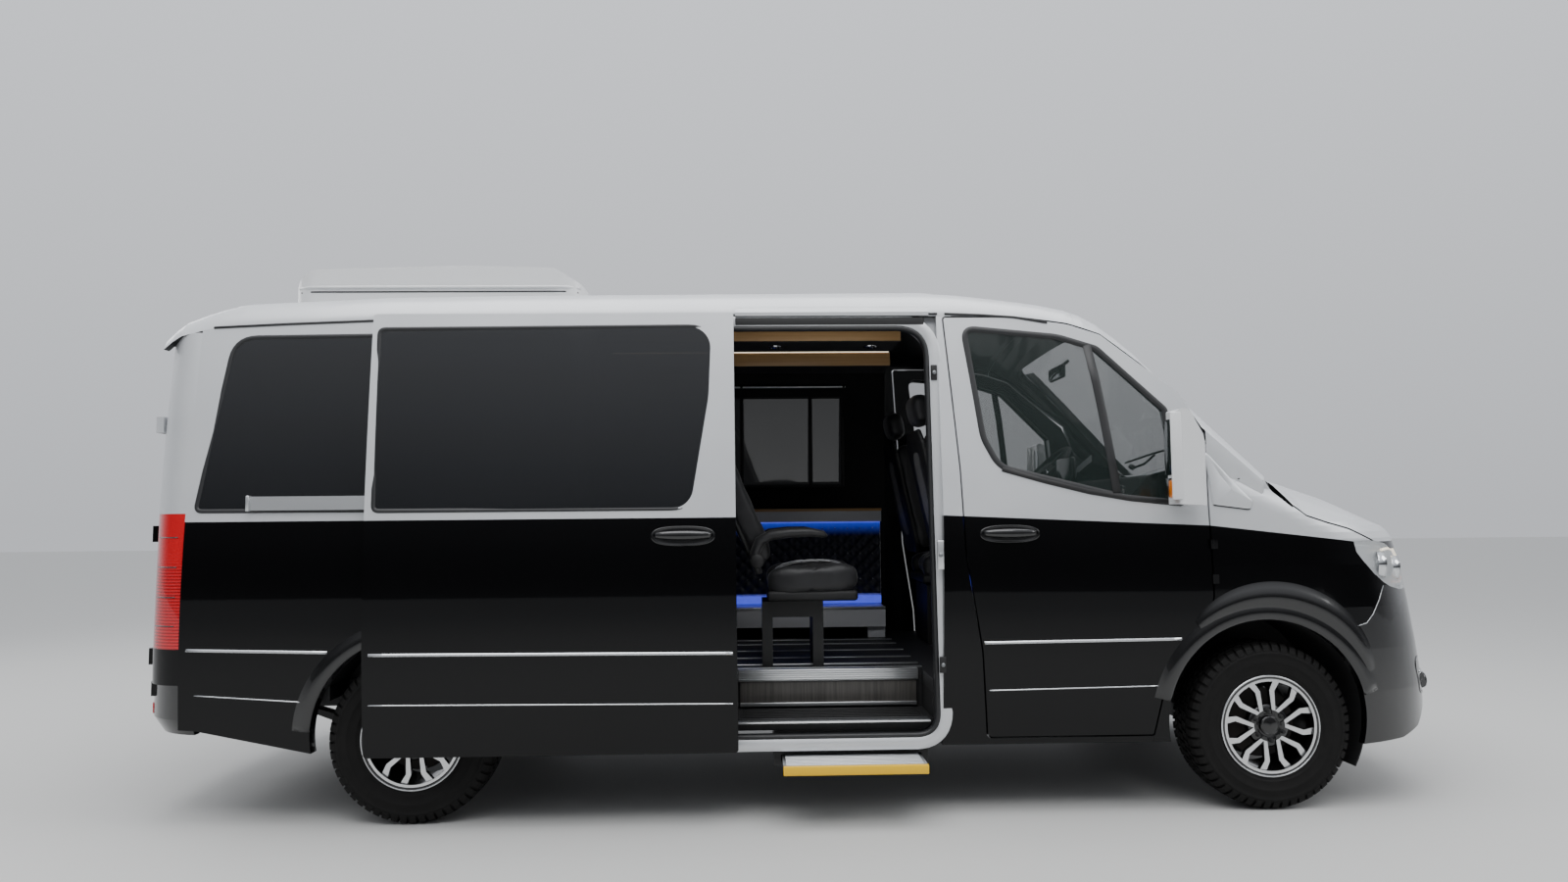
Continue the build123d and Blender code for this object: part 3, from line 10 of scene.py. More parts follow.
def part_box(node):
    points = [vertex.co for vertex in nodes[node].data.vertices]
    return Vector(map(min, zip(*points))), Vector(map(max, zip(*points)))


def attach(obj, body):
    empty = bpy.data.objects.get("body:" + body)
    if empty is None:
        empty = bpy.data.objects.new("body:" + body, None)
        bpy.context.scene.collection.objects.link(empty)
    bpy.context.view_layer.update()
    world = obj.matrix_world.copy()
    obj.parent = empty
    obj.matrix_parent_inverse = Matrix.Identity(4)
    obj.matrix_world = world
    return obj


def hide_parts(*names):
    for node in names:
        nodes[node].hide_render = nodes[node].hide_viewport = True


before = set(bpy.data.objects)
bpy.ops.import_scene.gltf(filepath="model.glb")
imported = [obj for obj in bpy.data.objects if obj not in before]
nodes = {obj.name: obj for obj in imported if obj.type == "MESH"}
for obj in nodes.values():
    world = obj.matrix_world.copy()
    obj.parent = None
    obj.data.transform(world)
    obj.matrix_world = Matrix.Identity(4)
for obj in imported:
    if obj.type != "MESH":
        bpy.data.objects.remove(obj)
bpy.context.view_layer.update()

RIGHT = -1
LEFT = 1
MM = 0.001
SIDES = ((RIGHT, "right"), (LEFT, "left"))

# Settings of nodes
COLOURS = {"data_type": "RGBA"}
SMOOTH = {"interpolation_type": "SMOOTHSTEP"}

# Places shared with the solids, in millimetres
FRONT_AXLE = 1962
REAR_AXLE = -1703
HUB_Z = 356
WHEEL_Y = 867.5
ARCH_X, ARCH_Z = FRONT_AXLE - 17, 383
BELT_Z = 1274.5
NOSE_X, TAIL_X = 2900, -2848
DOOR_SLIDE_OUT = 115


# Materials
def colour(hexadecimal):
    """An sRGB hex value as linear red, green, blue and alpha."""
    parts = [int(hexadecimal[i:i + 2], 16) / 255 for i in (1, 3, 5)]
    return [p / 12.92 if p <= 0.04045 else ((p + 0.055) / 1.055) ** 2.4 for p in parts] + [1]


def add_node(material, kind, settings=None, **links):
    """Adds a node. Settings are its properties or its operation; links set its inputs to values, colours or nodes."""
    tree = material.node_tree
    new = tree.nodes.new("ShaderNode" + kind)
    if isinstance(settings, str):
        settings = {"operation": settings}
    for key, value in (settings or {}).items():
        setattr(new, key, value)
    usable = [socket for socket in new.inputs if socket.enabled]
    for key, value in links.items():
        name = key.replace("_", " ")
        socket = usable[int(name[1:])] if name[1:].isdigit() else next(s for s in usable if s.name == name)
        if isinstance(value, bpy.types.Node):
            value = next(output for output in value.outputs if output.enabled)
        if isinstance(value, bpy.types.NodeSocket):
            tree.links.new(value, socket)
        else:
            socket.default_value = colour(value) if isinstance(value, str) else value
    return new


def blank_material(name):
    """An empty material and the output that gives a point's place on its object."""
    material = bpy.data.materials.new(name)
    material.use_nodes = True
    material.node_tree.nodes.clear()
    return material, add_node(material, "TexCoord").outputs["Object"]


def finish_material(material, **sockets):
    shader = add_node(material, "BsdfPrincipled", **sockets)
    add_node(material, "OutputMaterial", Surface=shader)
    return material


def grain(material, place, size_mm, depth, strength):
    """Bump of an even noise whose features are size_mm across."""
    noise = add_node(material, "TexNoise", Vector=place, Scale=1000 / size_mm, Detail=2)
    return add_node(material, "Bump", Height=noise, Distance=depth * MM, Strength=strength)


def silver_flake(m, place):
    """Colour and bump of the silver coat. Its flake is about 2 mm, coarser than the real 0.05 mm so that it shows."""
    flake = add_node(m, "TexVoronoi", Vector=place, Scale=450.0)
    shade = add_node(m, "TexNoise", Vector=place, Scale=3.0, Detail=2.0)
    return (add_node(m, "Mix", COLOURS, Factor=shade, A="#C9CBCE", B="#D6D8DA"),
            add_node(m, "Bump", Height=flake, Distance=0.00008, Strength=0.25))


def two_coat_lacquer():
    """Car lacquer: silver flake above the belt line, gloss black below it, both under a clear coat."""
    m, place = blank_material("two_coat_lacquer")
    axes = add_node(m, "SeparateXYZ", Vector=place)
    # The belt line is level along the sides and falls in two slopes towards the nose
    first_fall = add_node(m, "MapRange", Value=axes.outputs["X"], From_Min=0.567, From_Max=1.721, To_Max=0.054)
    second_fall = add_node(m, "MapRange", Value=axes.outputs["X"], From_Min=1.721, From_Max=2.40, To_Max=0.080)
    raised = add_node(m, "Math", "ADD", i0=axes.outputs["Z"], i1=first_fall)
    level = add_node(m, "Math", "ADD", i0=raised, i1=second_fall)
    above = add_node(m, "Math", "GREATER_THAN", i0=level, i1=BELT_Z * MM)
    silver, ripple = silver_flake(m, place)
    paint = add_node(m, "Mix", COLOURS, Factor=above, A="#050506", B=silver)
    # Faces turned towards the cabin carry dark lining, not paint
    turned_in = add_node(m, "VectorMath", "MULTIPLY", i0=place.node.outputs["Normal"], i1=place)
    shares = add_node(m, "SeparateXYZ", Vector=turned_in)
    sideways = add_node(m, "Math", "MINIMUM", i0=shares.outputs["Y"], i1=shares.outputs["Z"])
    lined = add_node(m, "Math", "LESS_THAN", i0=sideways, i1=-0.4)
    tone = add_node(m, "Mix", COLOURS, Factor=lined, A=paint, B="#17181A")
    outside = add_node(m, "Math", "SUBTRACT", i0=above, i1=lined)
    metal = add_node(m, "Math", {"operation": "MULTIPLY", "use_clamp": True}, i0=outside, i1=0.35)
    dull = add_node(m, "MapRange", Value=above, To_Min=0.16, To_Max=0.38)
    # Orange peel of the clear coat, about 6 mm across
    peel = add_node(m, "TexNoise", Vector=place, Scale=160.0, Detail=1.0)
    coat_ripple = add_node(m, "Bump", Height=peel, Distance=0.00002, Strength=0.3)
    return finish_material(m, Base_Color=tone, Metallic=metal, Roughness=dull, Normal=ripple, Specular_IOR_Level=0.08,
                           Coat_Weight=0.4, Coat_Roughness=0.03, Coat_Normal=coat_ripple)


def silver_lacquer():
    """The silver coat alone, as on the door jambs."""
    m, place = blank_material("silver_lacquer")
    silver, ripple = silver_flake(m, place)
    return finish_material(m, Base_Color=silver, Metallic=0.35, Roughness=0.38, Normal=ripple, Coat_Weight=1.0,
                           Coat_Roughness=0.04)


def moulded_plastic(name, hexadecimal, rough, size_mm=1.2, depth=0.10, strength=0.5, coat=0.0):
    """Injection moulded plastic: a fine even grain breaks up the highlight."""
    m, place = blank_material(name)
    bump = grain(m, place, size_mm, depth, strength)
    wear = add_node(m, "TexNoise", Vector=place, Scale=9.0, Detail=4.0)
    tone = add_node(m, "MapRange", Value=wear, To_Min=rough - 0.06, To_Max=rough + 0.06)
    return finish_material(m, Base_Color=hexadecimal, Roughness=tone, IOR=1.53, Normal=bump, Coat_Weight=coat,
                           Coat_Roughness=0.04)


def drawn_metal(name, hexadecimal, rough, line_mm=0.8):
    """Extruded or brushed metal: fine lines along its length stretch the highlight."""
    m, place = blank_material(name)
    stretched = add_node(m, "Mapping", Vector=place, Scale=(6, 1000 / line_mm, 1000 / line_mm))
    lines = add_node(m, "TexNoise", Vector=stretched, Scale=1.0, Detail=3.0)
    tone = add_node(m, "MapRange", Value=lines, To_Min=rough - 0.08, To_Max=rough + 0.10)
    bump = add_node(m, "Bump", Height=lines, Distance=0.00003, Strength=0.4)
    return finish_material(m, Base_Color=hexadecimal, Metallic=1.0, Roughness=tone, Normal=bump)


def tinted_glass(name, hexadecimal, alpha, mesh_mm=0.0):
    """Toughened glass: smooth and glossy; privacy glass carries the fine mesh of its printed film."""
    m, place = blank_material(name)
    wave = add_node(m, "TexNoise", Vector=place, Scale=2.2, Detail=1.0)
    bump = add_node(m, "Bump", Height=wave, Distance=0.0015, Strength=0.25)
    if not mesh_mm:
        return finish_material(m, Base_Color=hexadecimal, Roughness=0.02, IOR=1.5, Alpha=alpha, Normal=bump,
                               Coat_Weight=0.6, Coat_Roughness=0.01)
    dots = add_node(m, "TexVoronoi", Vector=place, Scale=1000 / mesh_mm, Randomness=0.0)
    cloud = add_node(m, "TexNoise", Vector=place, Scale=1.4, Detail=3.0)
    light = add_node(m, "Mix", COLOURS, Factor=cloud, A=hexadecimal, B="#181A1E")
    film = add_node(m, "Mix", COLOURS, Factor=dots, A=light, B=hexadecimal)
    return finish_material(m, Base_Color=film, Roughness=0.05, IOR=1.5, Alpha=alpha, Normal=bump, Coat_Weight=0.8,
                           Coat_Roughness=0.01)


def machined_alloy():
    """Cast alloy wheel: faces turned bright on the lathe, sides and pockets left in gloss black lacquer."""
    m, place = blank_material("machined_alloy")
    facing = add_node(m, "SeparateXYZ", Vector=place.node.outputs["Normal"])
    outward = add_node(m, "Math", "ABSOLUTE", i0=facing.outputs["Y"])
    facing_out = add_node(m, "Math", "GREATER_THAN", i0=outward, i1=0.93)
    # Distance from the nearer axle, so that the hub and the well of the rim stay black
    axes = add_node(m, "SeparateXYZ", Vector=place)
    from_middle = add_node(m, "Math", "SUBTRACT", i0=axes.outputs["X"], i1=(FRONT_AXLE + REAR_AXLE) / 2 * MM)
    along = add_node(m, "Math", "ABSOLUTE", i0=from_middle)
    fore = add_node(m, "Math", "SUBTRACT", i0=along, i1=(FRONT_AXLE - REAR_AXLE) / 2 * MM)
    up = add_node(m, "Math", "SUBTRACT", i0=axes.outputs["Z"], i1=HUB_Z * MM)
    flat = add_node(m, "CombineXYZ", X=fore, Y=up)
    radius = add_node(m, "VectorMath", "LENGTH", i0=flat)
    outside_hub = add_node(m, "Math", "GREATER_THAN", i0=radius, i1=0.068)
    turned = add_node(m, "Math", "MULTIPLY", i0=facing_out, i1=outside_hub)
    # Lathe marks about 1.5 mm apart
    rings = add_node(m, "TexNoise", Vector=place, Scale=600.0, Detail=2.0)
    tone = add_node(m, "Mix", COLOURS, Factor=turned, A="#0A0A0B", B="#D9DADB")
    rough = add_node(m, "MapRange", Value=rings, To_Min=0.16, To_Max=0.34)
    return finish_material(m, Base_Color=tone, Metallic=turned, Roughness=rough, Coat_Weight=0.5, Coat_Roughness=0.05)


def tyre_rubber():
    """Vulcanised rubber: matt charcoal with a bloom of road dust that greys the shoulders."""
    m, place = blank_material("tyre_rubber")
    dust = add_node(m, "TexNoise", Vector=place, Scale=28.0, Detail=6.0)
    tone = add_node(m, "Mix", COLOURS, Factor=dust, A="#080808", B="#151413")
    bump = grain(m, place, 3.0, 0.25, 0.5)
    return finish_material(m, Base_Color=tone, Roughness=0.7, Specular_IOR_Level=0.22, Normal=bump)


def seat_leather():
    """Chrome-tanned leather: pebbled grain about 2.5 mm across with a soft waxed sheen."""
    m, place = blank_material("seat_leather")
    pebble = add_node(m, "TexVoronoi", Vector=place, Scale=400.0)
    crease = add_node(m, "TexNoise", Vector=place, Scale=22.0, Detail=5.0)
    height = add_node(m, "Math", "ADD", i0=pebble, i1=crease)
    bump = add_node(m, "Bump", Height=height, Distance=0.0006, Strength=0.5)
    tone = add_node(m, "Mix", COLOURS, Factor=crease, A="#0E0E10", B="#232326")
    return finish_material(m, Base_Color=tone, Roughness=0.46, Normal=bump, Sheen_Weight=0.15)


def quilted_leather():
    """Quilted wall panel in dark blue-black leather, with the light of the blue strip along its top edge painted on
    as a glow.
    """
    m, place = blank_material("quilted_leather")
    axes = add_node(m, "SeparateXYZ", Vector=place)
    # Painted light: the leather glows blue near the strip above it and fades downwards
    near_strip = add_node(m, "MapRange", Value=axes.outputs["Z"], From_Min=1.15, From_Max=1.24)
    falloff = add_node(m, "Math", "POWER", i0=near_strip, i1=2.0)
    painted_strip_glow = add_node(m, "Math", "MULTIPLY", i0=falloff, i1=0.8)
    bump = grain(m, place, 2.5, 0.3, 0.5)
    return finish_material(m, Base_Color="#15182B", Roughness=0.42, Normal=bump, Emission_Color="#2B45D8",
                           Emission_Strength=painted_strip_glow)


def light_strip(name, hexadecimal, strength):
    """Light-emitting strip behind a frosted cover."""
    m, place = blank_material(name)
    spots = add_node(m, "TexNoise", Vector=place, Scale=40.0, Detail=1.0)
    level = add_node(m, "MapRange", Value=spots, To_Min=strength * 0.8, To_Max=strength * 1.2)
    return finish_material(m, Base_Color=hexadecimal, Roughness=0.5, Emission_Color=hexadecimal,
                           Emission_Strength=level)


def wood(name, dark, pale, stretch, scale, rough, coat=0.0):
    """Woodgrain: streaks drawn out along the direction that is stretched least."""
    m, place = blank_material(name)
    along = add_node(m, "Mapping", Vector=place, Scale=stretch)
    lines = add_node(m, "TexNoise", Vector=along, Scale=scale, Detail=6.0)
    tone = add_node(m, "Mix", COLOURS, Factor=lines, A=dark, B=pale)
    bump = add_node(m, "Bump", Height=lines, Distance=0.0002, Strength=0.4)
    return finish_material(m, Base_Color=tone, Roughness=rough, Normal=bump, Coat_Weight=coat)


def anti_slip_vinyl():
    """Flecked vinyl flooring: small bright chips in near-black, rough underfoot."""
    m, place = blank_material("anti_slip_vinyl")
    chips = add_node(m, "TexVoronoi", Vector=place, Scale=160.0)
    bright = add_node(m, "Math", "LESS_THAN", i0=chips, i1=0.12)
    tone = add_node(m, "Mix", COLOURS, Factor=bright, A="#19191B", B="#6E6F72")
    bump = grain(m, place, 1.5, 0.3, 0.6)
    return finish_material(m, Base_Color=tone, Roughness=0.55, Normal=bump)


def red_lens():
    """Moulded acrylic tail lamp: deep red with the ribs of its inner optics."""
    m, place = blank_material("red_lens")
    axes = add_node(m, "SeparateXYZ", Vector=place)
    ribs = add_node(m, "TexWave", {"bands_direction": "Z"}, Vector=place, Scale=24.0)
    dark_band = add_node(m, "MapRange", SMOOTH, Value=axes.outputs["Z"], From_Min=1.06, From_Max=1.12)
    low = add_node(m, "Mix", COLOURS, Factor=ribs.outputs[1], A="#8E0A10", B="#D2222A")
    tone = add_node(m, "Mix", COLOURS, Factor=dark_band, A=low, B="#C4161E")
    bump = add_node(m, "Bump", Height=ribs.outputs[1], Distance=0.0006, Strength=0.25)
    return finish_material(m, Base_Color=tone, Roughness=0.12, IOR=1.49, Normal=bump, Coat_Weight=1.0,
                           Coat_Roughness=0.02, Emission_Color="#A00810", Emission_Strength=0.06)


PAINT = two_coat_lacquer()
BLACK_GLOSS = moulded_plastic("gloss_black_lacquer", "#050506", 0.22, 6.0, 0.03, 0.2, coat=0.6)
BLACK_GRAIN = moulded_plastic("grained_black_pp", "#131314", 0.62)
SOFT_RUBBER = moulded_plastic("epdm_rubber", "#1B1C1E", 0.50, 0.8, 0.06, 0.4)
WHITE_ABS = moulded_plastic("white_abs", "#DADBDC", 0.30, 6.0, 0.03, 0.25, coat=0.5)
DARK_LINING = moulded_plastic("black_lining_felt", "#0B0B0D", 0.88, 2.0, 0.3, 0.6)
WHITE_LAMINATE = moulded_plastic("white_laminate", "#D5D6DA", 0.34, 3.0, 0.05, 0.3)
YELLOW_NOSING = moulded_plastic("yellow_nosing_pvc", "#E9B90C", 0.45)
AMBER_LENS = moulded_plastic("amber_lens", "#D9770F", 0.15, 2.0, 0.05, 0.2, coat=1.0)
STEEL_BLACK = moulded_plastic("chassis_black_enamel", "#101011", 0.55, 4.0, 0.15, 0.5)
CAST_IRON = moulded_plastic("cast_iron_skin", "#2E2A27", 0.75, 2.5, 0.5, 0.8)
ALUMINIUM = drawn_metal("brushed_aluminium", "#DCDEDF", 0.34)
# Bright metal for the turned ring on the wheels, and for painted highlights: the crease and seam lines on the black
# paint, which on the real body only reflect the bright sky
BRIGHT_TRIM_AND_PAINTED_HIGHLIGHT = drawn_metal("turned_trim_and_painted_highlight", "#D4D6D8", 0.18, 2.0)
CHROME = drawn_metal("chrome_plate", "#DCDEE0", 0.10, 3.0)
GALVANISED = drawn_metal("galvanised_steel", "#8C8F91", 0.45)
PRIVACY_GLASS = tinted_glass("privacy_glass", "#0C0E11", 0.9, 3.0)
CLEAR_GLASS = tinted_glass("clear_tinted_glass", "#24302D", 0.30)
LAMP_COVER = tinted_glass("lamp_cover_polycarbonate", "#E4E8EA", 0.45)
ALLOY = machined_alloy()
RUBBER = tyre_rubber()
LEATHER = seat_leather()
QUILT = quilted_leather()
BLUE_LIGHT = light_strip("blue_strip_light", "#4F5BE6", 0.9)
WHITE_LIGHT = light_strip("white_strip_light", "#F4E6CC", 1.6)
# Oiled beech in bands a few millimetres wide, and laminate with upright streaks about 8 mm wide
BEECH = wood("beech_veneer", "#B98A55", "#DDB682", (1.2, 60, 60), 2.0, 0.42, 0.2)
GREY_WOOD = wood("grey_wood", "#1E1D1C", "#6A6763", (110, 110, 4), 1.0, 0.35)
VINYL = anti_slip_vinyl()
RED_LENS = red_lens()
SILVER = silver_lacquer()

DRESS = (
    (PAINT, "side_panel_right side_panel_left roof_panel cab_frame wings sliding_door rear_frame door_hinges bonnet"),
    (PAINT, "front_door_right front_door_left rear_door_right rear_door_left"),
    (BLACK_GRAIN, "grille cowl wheel_houses sills_and_well wheel_liners firewall dashboard steering_wheel"),
    (BLACK_GLOSS, "front_bumper rear_bumper"),
    (STEEL_BLACK, "chassis door_arms leaf_springs step_housing seat_stands"),
    (CAST_IRON, "rear_axle engine knuckle_right knuckle_left"),
    (WHITE_ABS, "roof_ac mirror_right mirror_left"),
    (ALUMINIUM, "door_rail step_board"),
    (PRIVACY_GLASS, "side_windows sliding_door_window rear_glass_right rear_glass_left"),
    (CLEAR_GLASS, "windscreen front_glass_right front_glass_left"),
    (RUBBER, "tyre_front_right tyre_front_left tyre_rear_right tyre_rear_left"),
    (ALLOY, "rim_front_right rim_front_left rim_rear_right rim_rear_left"),
    (DARK_LINING, "ceiling wall_lining"), (VINYL, "floor_pan"), (LAMP_COVER, "headlamps"), (RED_LENS, "tail_lamps"),
    (GALVANISED, "underbody"), (LEATHER, "seats"), (WHITE_LAMINATE, "side_console"),
)
for finish, names in DRESS:
    for name in names.split():
        nodes[name].data.materials.clear()
        nodes[name].data.materials.append(finish)


# Shapes
def put(name, data):
    """A new object in the scene."""
    obj = bpy.data.objects.new(name, data)
    bpy.context.scene.collection.objects.link(obj)
    return obj


def piece(name, points, faces, finish, body="body", smooth=False, bevel=0.0):
    """A mesh from points in millimetres, riding on a body."""
    mesh = bpy.data.meshes.new(name)
    mesh.from_pydata([[c * MM for c in p] for p in points], [], faces)
    mesh.update()
    work = bmesh.new()
    work.from_mesh(mesh)
    bmesh.ops.remove_doubles(work, verts=work.verts, dist=1e-6)
    bmesh.ops.recalc_face_normals(work, faces=work.faces)
    work.to_mesh(mesh)
    work.free()
    for polygon in mesh.polygons:
        polygon.use_smooth = smooth
    obj = put(name, mesh)
    mesh.materials.append(finish)
    if bevel:
        round_edges(obj, bevel)
    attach(obj, body)
    return obj


def round_edges(obj, radius_mm):
    modifier = obj.modifiers.new("rounded", "BEVEL")
    modifier.width = radius_mm * MM
    modifier.segments = 2
    modifier.limit_method = "ANGLE"
    modifier.angle_limit = radians(35)
    for polygon in obj.data.polygons:
        polygon.use_smooth = True
    obj.data.update()


def block(name, low, high, finish, bevel=2.0, body="body"):
    """A bar or panel between two corners, with rounded edges."""
    (x0, y0, z0), (x1, y1, z1) = low, high
    points = [(x, y, z) for x in (x0, x1) for y in (y0, y1) for z in (z0, z1)]
    faces = [(0, 1, 3, 2), (4, 6, 7, 5), (0, 4, 5, 1), (2, 3, 7, 6), (0, 2, 6, 4), (1, 5, 7, 3)]
    return piece(name, points, faces, finish, body, bevel=bevel)


def grid_faces(rows, count, closed=True, ends=False):
    """Faces between rows with the same number of points, and over the first and last row."""
    faces = []
    for i in range(rows - 1):
        for j in range(count if closed else count - 1):
            k = (j + 1) % count
            faces.append((i * count + j, i * count + k, (i + 1) * count + k, (i + 1) * count + j))
    if ends:
        faces += [tuple(range(count)), tuple(range((rows - 1) * count, rows * count))]
    return faces


def loft(name, loops, finish, body="body", closed_ends=True, smooth=True, closed_loops=True, bevel=0.0):
    """A skin over loops with the same number of points."""
    points = [p for loop in loops for p in loop]
    faces = grid_faces(len(loops), len(loops[0]), closed_loops, closed_ends)
    return piece(name, points, faces, finish, body, smooth, bevel)


def sheet(name, rows, finish, body="body"):
    """A skin over open rows of points."""
    return loft(name, rows, finish, body, closed_ends=False, closed_loops=False)


def tube(name, points, radius, finish, body="body"):
    """A round bar along points in millimetres."""
    curve = bpy.data.curves.new(name, "CURVE")
    curve.dimensions = "3D"
    spline = curve.splines.new("POLY")
    spline.points.add(len(points) - 1)
    for target, p in zip(spline.points, points):
        target.co = (p[0] * MM, p[1] * MM, p[2] * MM, 1)
    curve.bevel_depth = radius * MM
    curve.bevel_resolution = 3
    curve.use_fill_caps = True
    curve.materials.append(finish)
    obj = put(name, curve)
    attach(obj, body)


def squared(value, power):
    """A sine or cosine raised towards 1, keeping its sign, which squares off a round form."""
    return copysign(abs(value) ** power, value)


def turns(count):
    """Angles evenly spaced around a full turn."""
    return [2 * pi * k / count for k in range(count)]


def rounded(rows, steps=7):
    """Points of a closed outline whose rows are (across, up, corner radius)."""
    result = []
    count = len(rows)
    for i, (x, z, radius) in enumerate(rows):
        corner = Vector((x, z))
        before = Vector(rows[i - 1][:2]) - corner
        after = Vector(rows[(i + 1) % count][:2]) - corner
        turn = before.angle(after)
        if radius < 1 or turn > pi - 0.02:
            result.append((x, z))
            continue
        run = min(radius / tan(turn / 2), before.length * 0.5, after.length * 0.5)
        start = corner + before.normalized() * run
        end = corner + after.normalized() * run
        for step in range(steps + 1):
            t = step / steps
            p = start * (1 - t) ** 2 + corner * 2 * t * (1 - t) + end * t ** 2
            result.append((p.x, p.y))
    return result


def edge_normals(path, closed):
    """Unit vectors to the left of a path at each of its points."""
    result = []
    count = len(path)
    for i in range(count):
        a = path[i - 1] if closed or i else path[0]
        b = path[(i + 1) % count] if closed or i < count - 1 else path[-1]
        dx, dz = b[0] - a[0], b[1] - a[1]
        length = hypot(dx, dz) or 1
        result.append((-dz / length, dx / length))
    return result


def arc_y(z, low, middle, high):
    """Half width at a height on the arc through three points (half width, height)."""
    (y1, z1), (y2, z2), (y3, z3) = low, middle, high
    d = 2 * (y1 * (z2 - z3) + y2 * (z3 - z1) + y3 * (z1 - z2))
    s1, s2, s3 = y1 * y1 + z1 * z1, y2 * y2 + z2 * z2, y3 * y3 + z3 * z3
    cy = (s1 * (z2 - z3) + s2 * (z3 - z1) + s3 * (z1 - z2)) / d
    cz = (s1 * (y3 - y2) + s2 * (y1 - y3) + s3 * (y2 - y1)) / d
    return cy + sqrt(max(0, (y1 - cy) ** 2 + (z1 - cz) ** 2 - (z - cz) ** 2))


WAIST = (990, 1280)


def side_y(z):
    """Half width of the body side at a height, on two arcs that meet at the waist."""
    if z <= WAIST[1]:
        return arc_y(z, (985, 300), (1010, 740), WAIST)
    return arc_y(z, WAIST, (944, 1722), (885, 2165))


skin_nodes = ("side_panel_right side_panel_left side_windows roof_panel cab_frame windscreen wings headlamps "
              "front_bumper grille cowl rear_frame tail_lamps rear_bumper roof_ac bonnet front_door_right "
              "front_door_left front_glass_right front_glass_left rear_door_right rear_door_left rear_glass_right "
              "rear_glass_left")
skin_points = []
skin_faces = []
for name in skin_nodes.split():
    first = len(skin_points)
    skin_points += [v.co.copy() for v in nodes[name].data.vertices]
    skin_faces += [[first + i for i in polygon.vertices] for polygon in nodes[name].data.polygons]
skin_tree = BVHTree.FromPolygons(skin_points, skin_faces)


# Where lines that look for the skin start, well outside it
BESIDE, BEYOND, OVERHEAD = 1500, 3500, 3000
# The side runs even between these two places and curves in beyond them; between them, only what lies this near to
# the even side belongs to it
EVEN_FRONT, EVEN_REAR, NEAR = 1900, -2640, 12
# What a line from ahead or from behind meets belongs to the nose or the tail only beyond these places
NOSE_FROM, TAIL_FROM = 1300, -2600
TAIL_LEANS_FROM, TAIL_LEAN = 1300, 0.034


def cast(start, direction):
    """First point of the van's skin on a line, in millimetres."""
    hit = skin_tree.ray_cast(Vector(start) * MM, Vector(direction))[0]
    return hit / MM if hit else None


def on_side(side, slide_out=0):
    """Places a point (x, z) on the body side, lifted outwards."""
    def place(x, z, lift):
        y = side_y(z)
        hit = cast((x, side * BESIDE, z), (0, -side, 0))
        if hit is not None and (x > EVEN_FRONT or x < EVEN_REAR or abs(abs(hit.y) - y) < NEAR):
            y = abs(hit.y)
        return (x, side * (y + slide_out + lift), z)
    return place


def on_front(y, z, lift):
    """A point on the front of the van, lifted forwards."""
    hit = cast((BEYOND, y, z), (-1, 0, 0))
    return ((hit.x if hit and hit.x > NOSE_FROM else NOSE_X) + lift, y, z)


def on_rear(y, z, lift):
    """A point on the tail, lifted backwards."""
    hit = cast((-BEYOND, y, z), (1, 0, 0))
    plain = TAIL_X + max(0, z - TAIL_LEANS_FROM) * TAIL_LEAN
    return ((hit.x if hit and hit.x < TAIL_FROM else plain) - lift, y, z)


def on_top(x, y, lift):
    """A point on the upper side, lifted up."""
    hit = cast((x, y, OVERHEAD), (0, 0, -1))
    return (x, y, (hit.z if hit else 2300) + lift)


def band(foot, low, crown, high):
    """Profile of a flat-topped band: half widths and lifts of its foot and of its crown."""
    return [(-foot, low), (-crown, high), (crown, high), (foot, low)]


def moulding(name, path, profile, place, finish, body="body", closed=False, smooth=True):
    """A band along a path on the skin. The profile's rows are (distance to the left of the path, lift)."""
    normals = edge_normals(path, closed)
    loops = []
    for (a, b), (na, nb) in zip(path, normals):
        loops.append([place(a + na * across, b + nb * across, lift) for across, lift in profile])
    if closed:
        loops.append(loops[0])
    return loft(name, loops, finish, body, closed_ends=not closed, smooth=smooth, closed_loops=False)


def dome(name, outline, centre, steps, place, finish, body="body"):
    """A raised skin inside an outline. The steps are (share of the outline's size, lift)."""
    cx, cz = centre
    rings = [[place(cx + (a - cx) * share, cz + (b - cz) * share, lift) for a, b in outline] for share, lift in steps]
    loft(name, rings, finish, body, closed_ends=False)


def straight(x0, z0, x1, z1, step=60):
    """Evenly spaced points of a straight path."""
    count = max(2, int(hypot(x1 - x0, z1 - z0) / step))
    return [(x0 + (x1 - x0) * i / count, z0 + (z1 - z0) * i / count) for i in range(count + 1)]


def lathe(name, centre, axis, profile, finish, segments=64, body="body", smooth=True):
    """A round piece about an axis; the profile's rows are (radius, distance along the axis)."""
    axis = Vector(axis).normalized()
    across = axis.orthogonal().normalized()
    other = axis.cross(across)
    loops = [[tuple(Vector(centre) + axis * along + (across * cos(turn) + other * sin(turn)) * radius)
              for turn in turns(segments)] for radius, along in profile]
    return loft(name, loops, finish, body, closed_ends=False, smooth=smooth)


# Glass surrounds
FRONT_GLASS = [
    (681, 2108, 45), (1102, 2066, 300), (1272, 2012, 60), (1558, 1733, 25), (1610, 1318, 12), (1355, 1345, 300),
    (812, 1482, 120), (747, 1610, 200)]
QUARTER_GLASS = [(-2623, 1320, 25), (-2518, 2078, 110), (-1053, 2094, 70), (-1053, 1316, 70)]
SLIDE_GLASS = [(-1856, 2092, 25), (-437, 2100, 95), (-448, 1790, 500), (-525, 1314, 90), (-1838, 1314, 25)]
MIDDLE_GLASS = [(-998, 1316, 70), (-998, 2096, 70), (302, 2096, 70), (302, 1316, 70)]
REAR_GLASS = [(130, 1330, 70), (130, 2000, 70), (690, 2000, 70), (690, 1330, 70)]
SEAL = [(-9, 0.2), (-8, 2.4), (0, 3.4), (8, 2.4), (9, 0.2)]

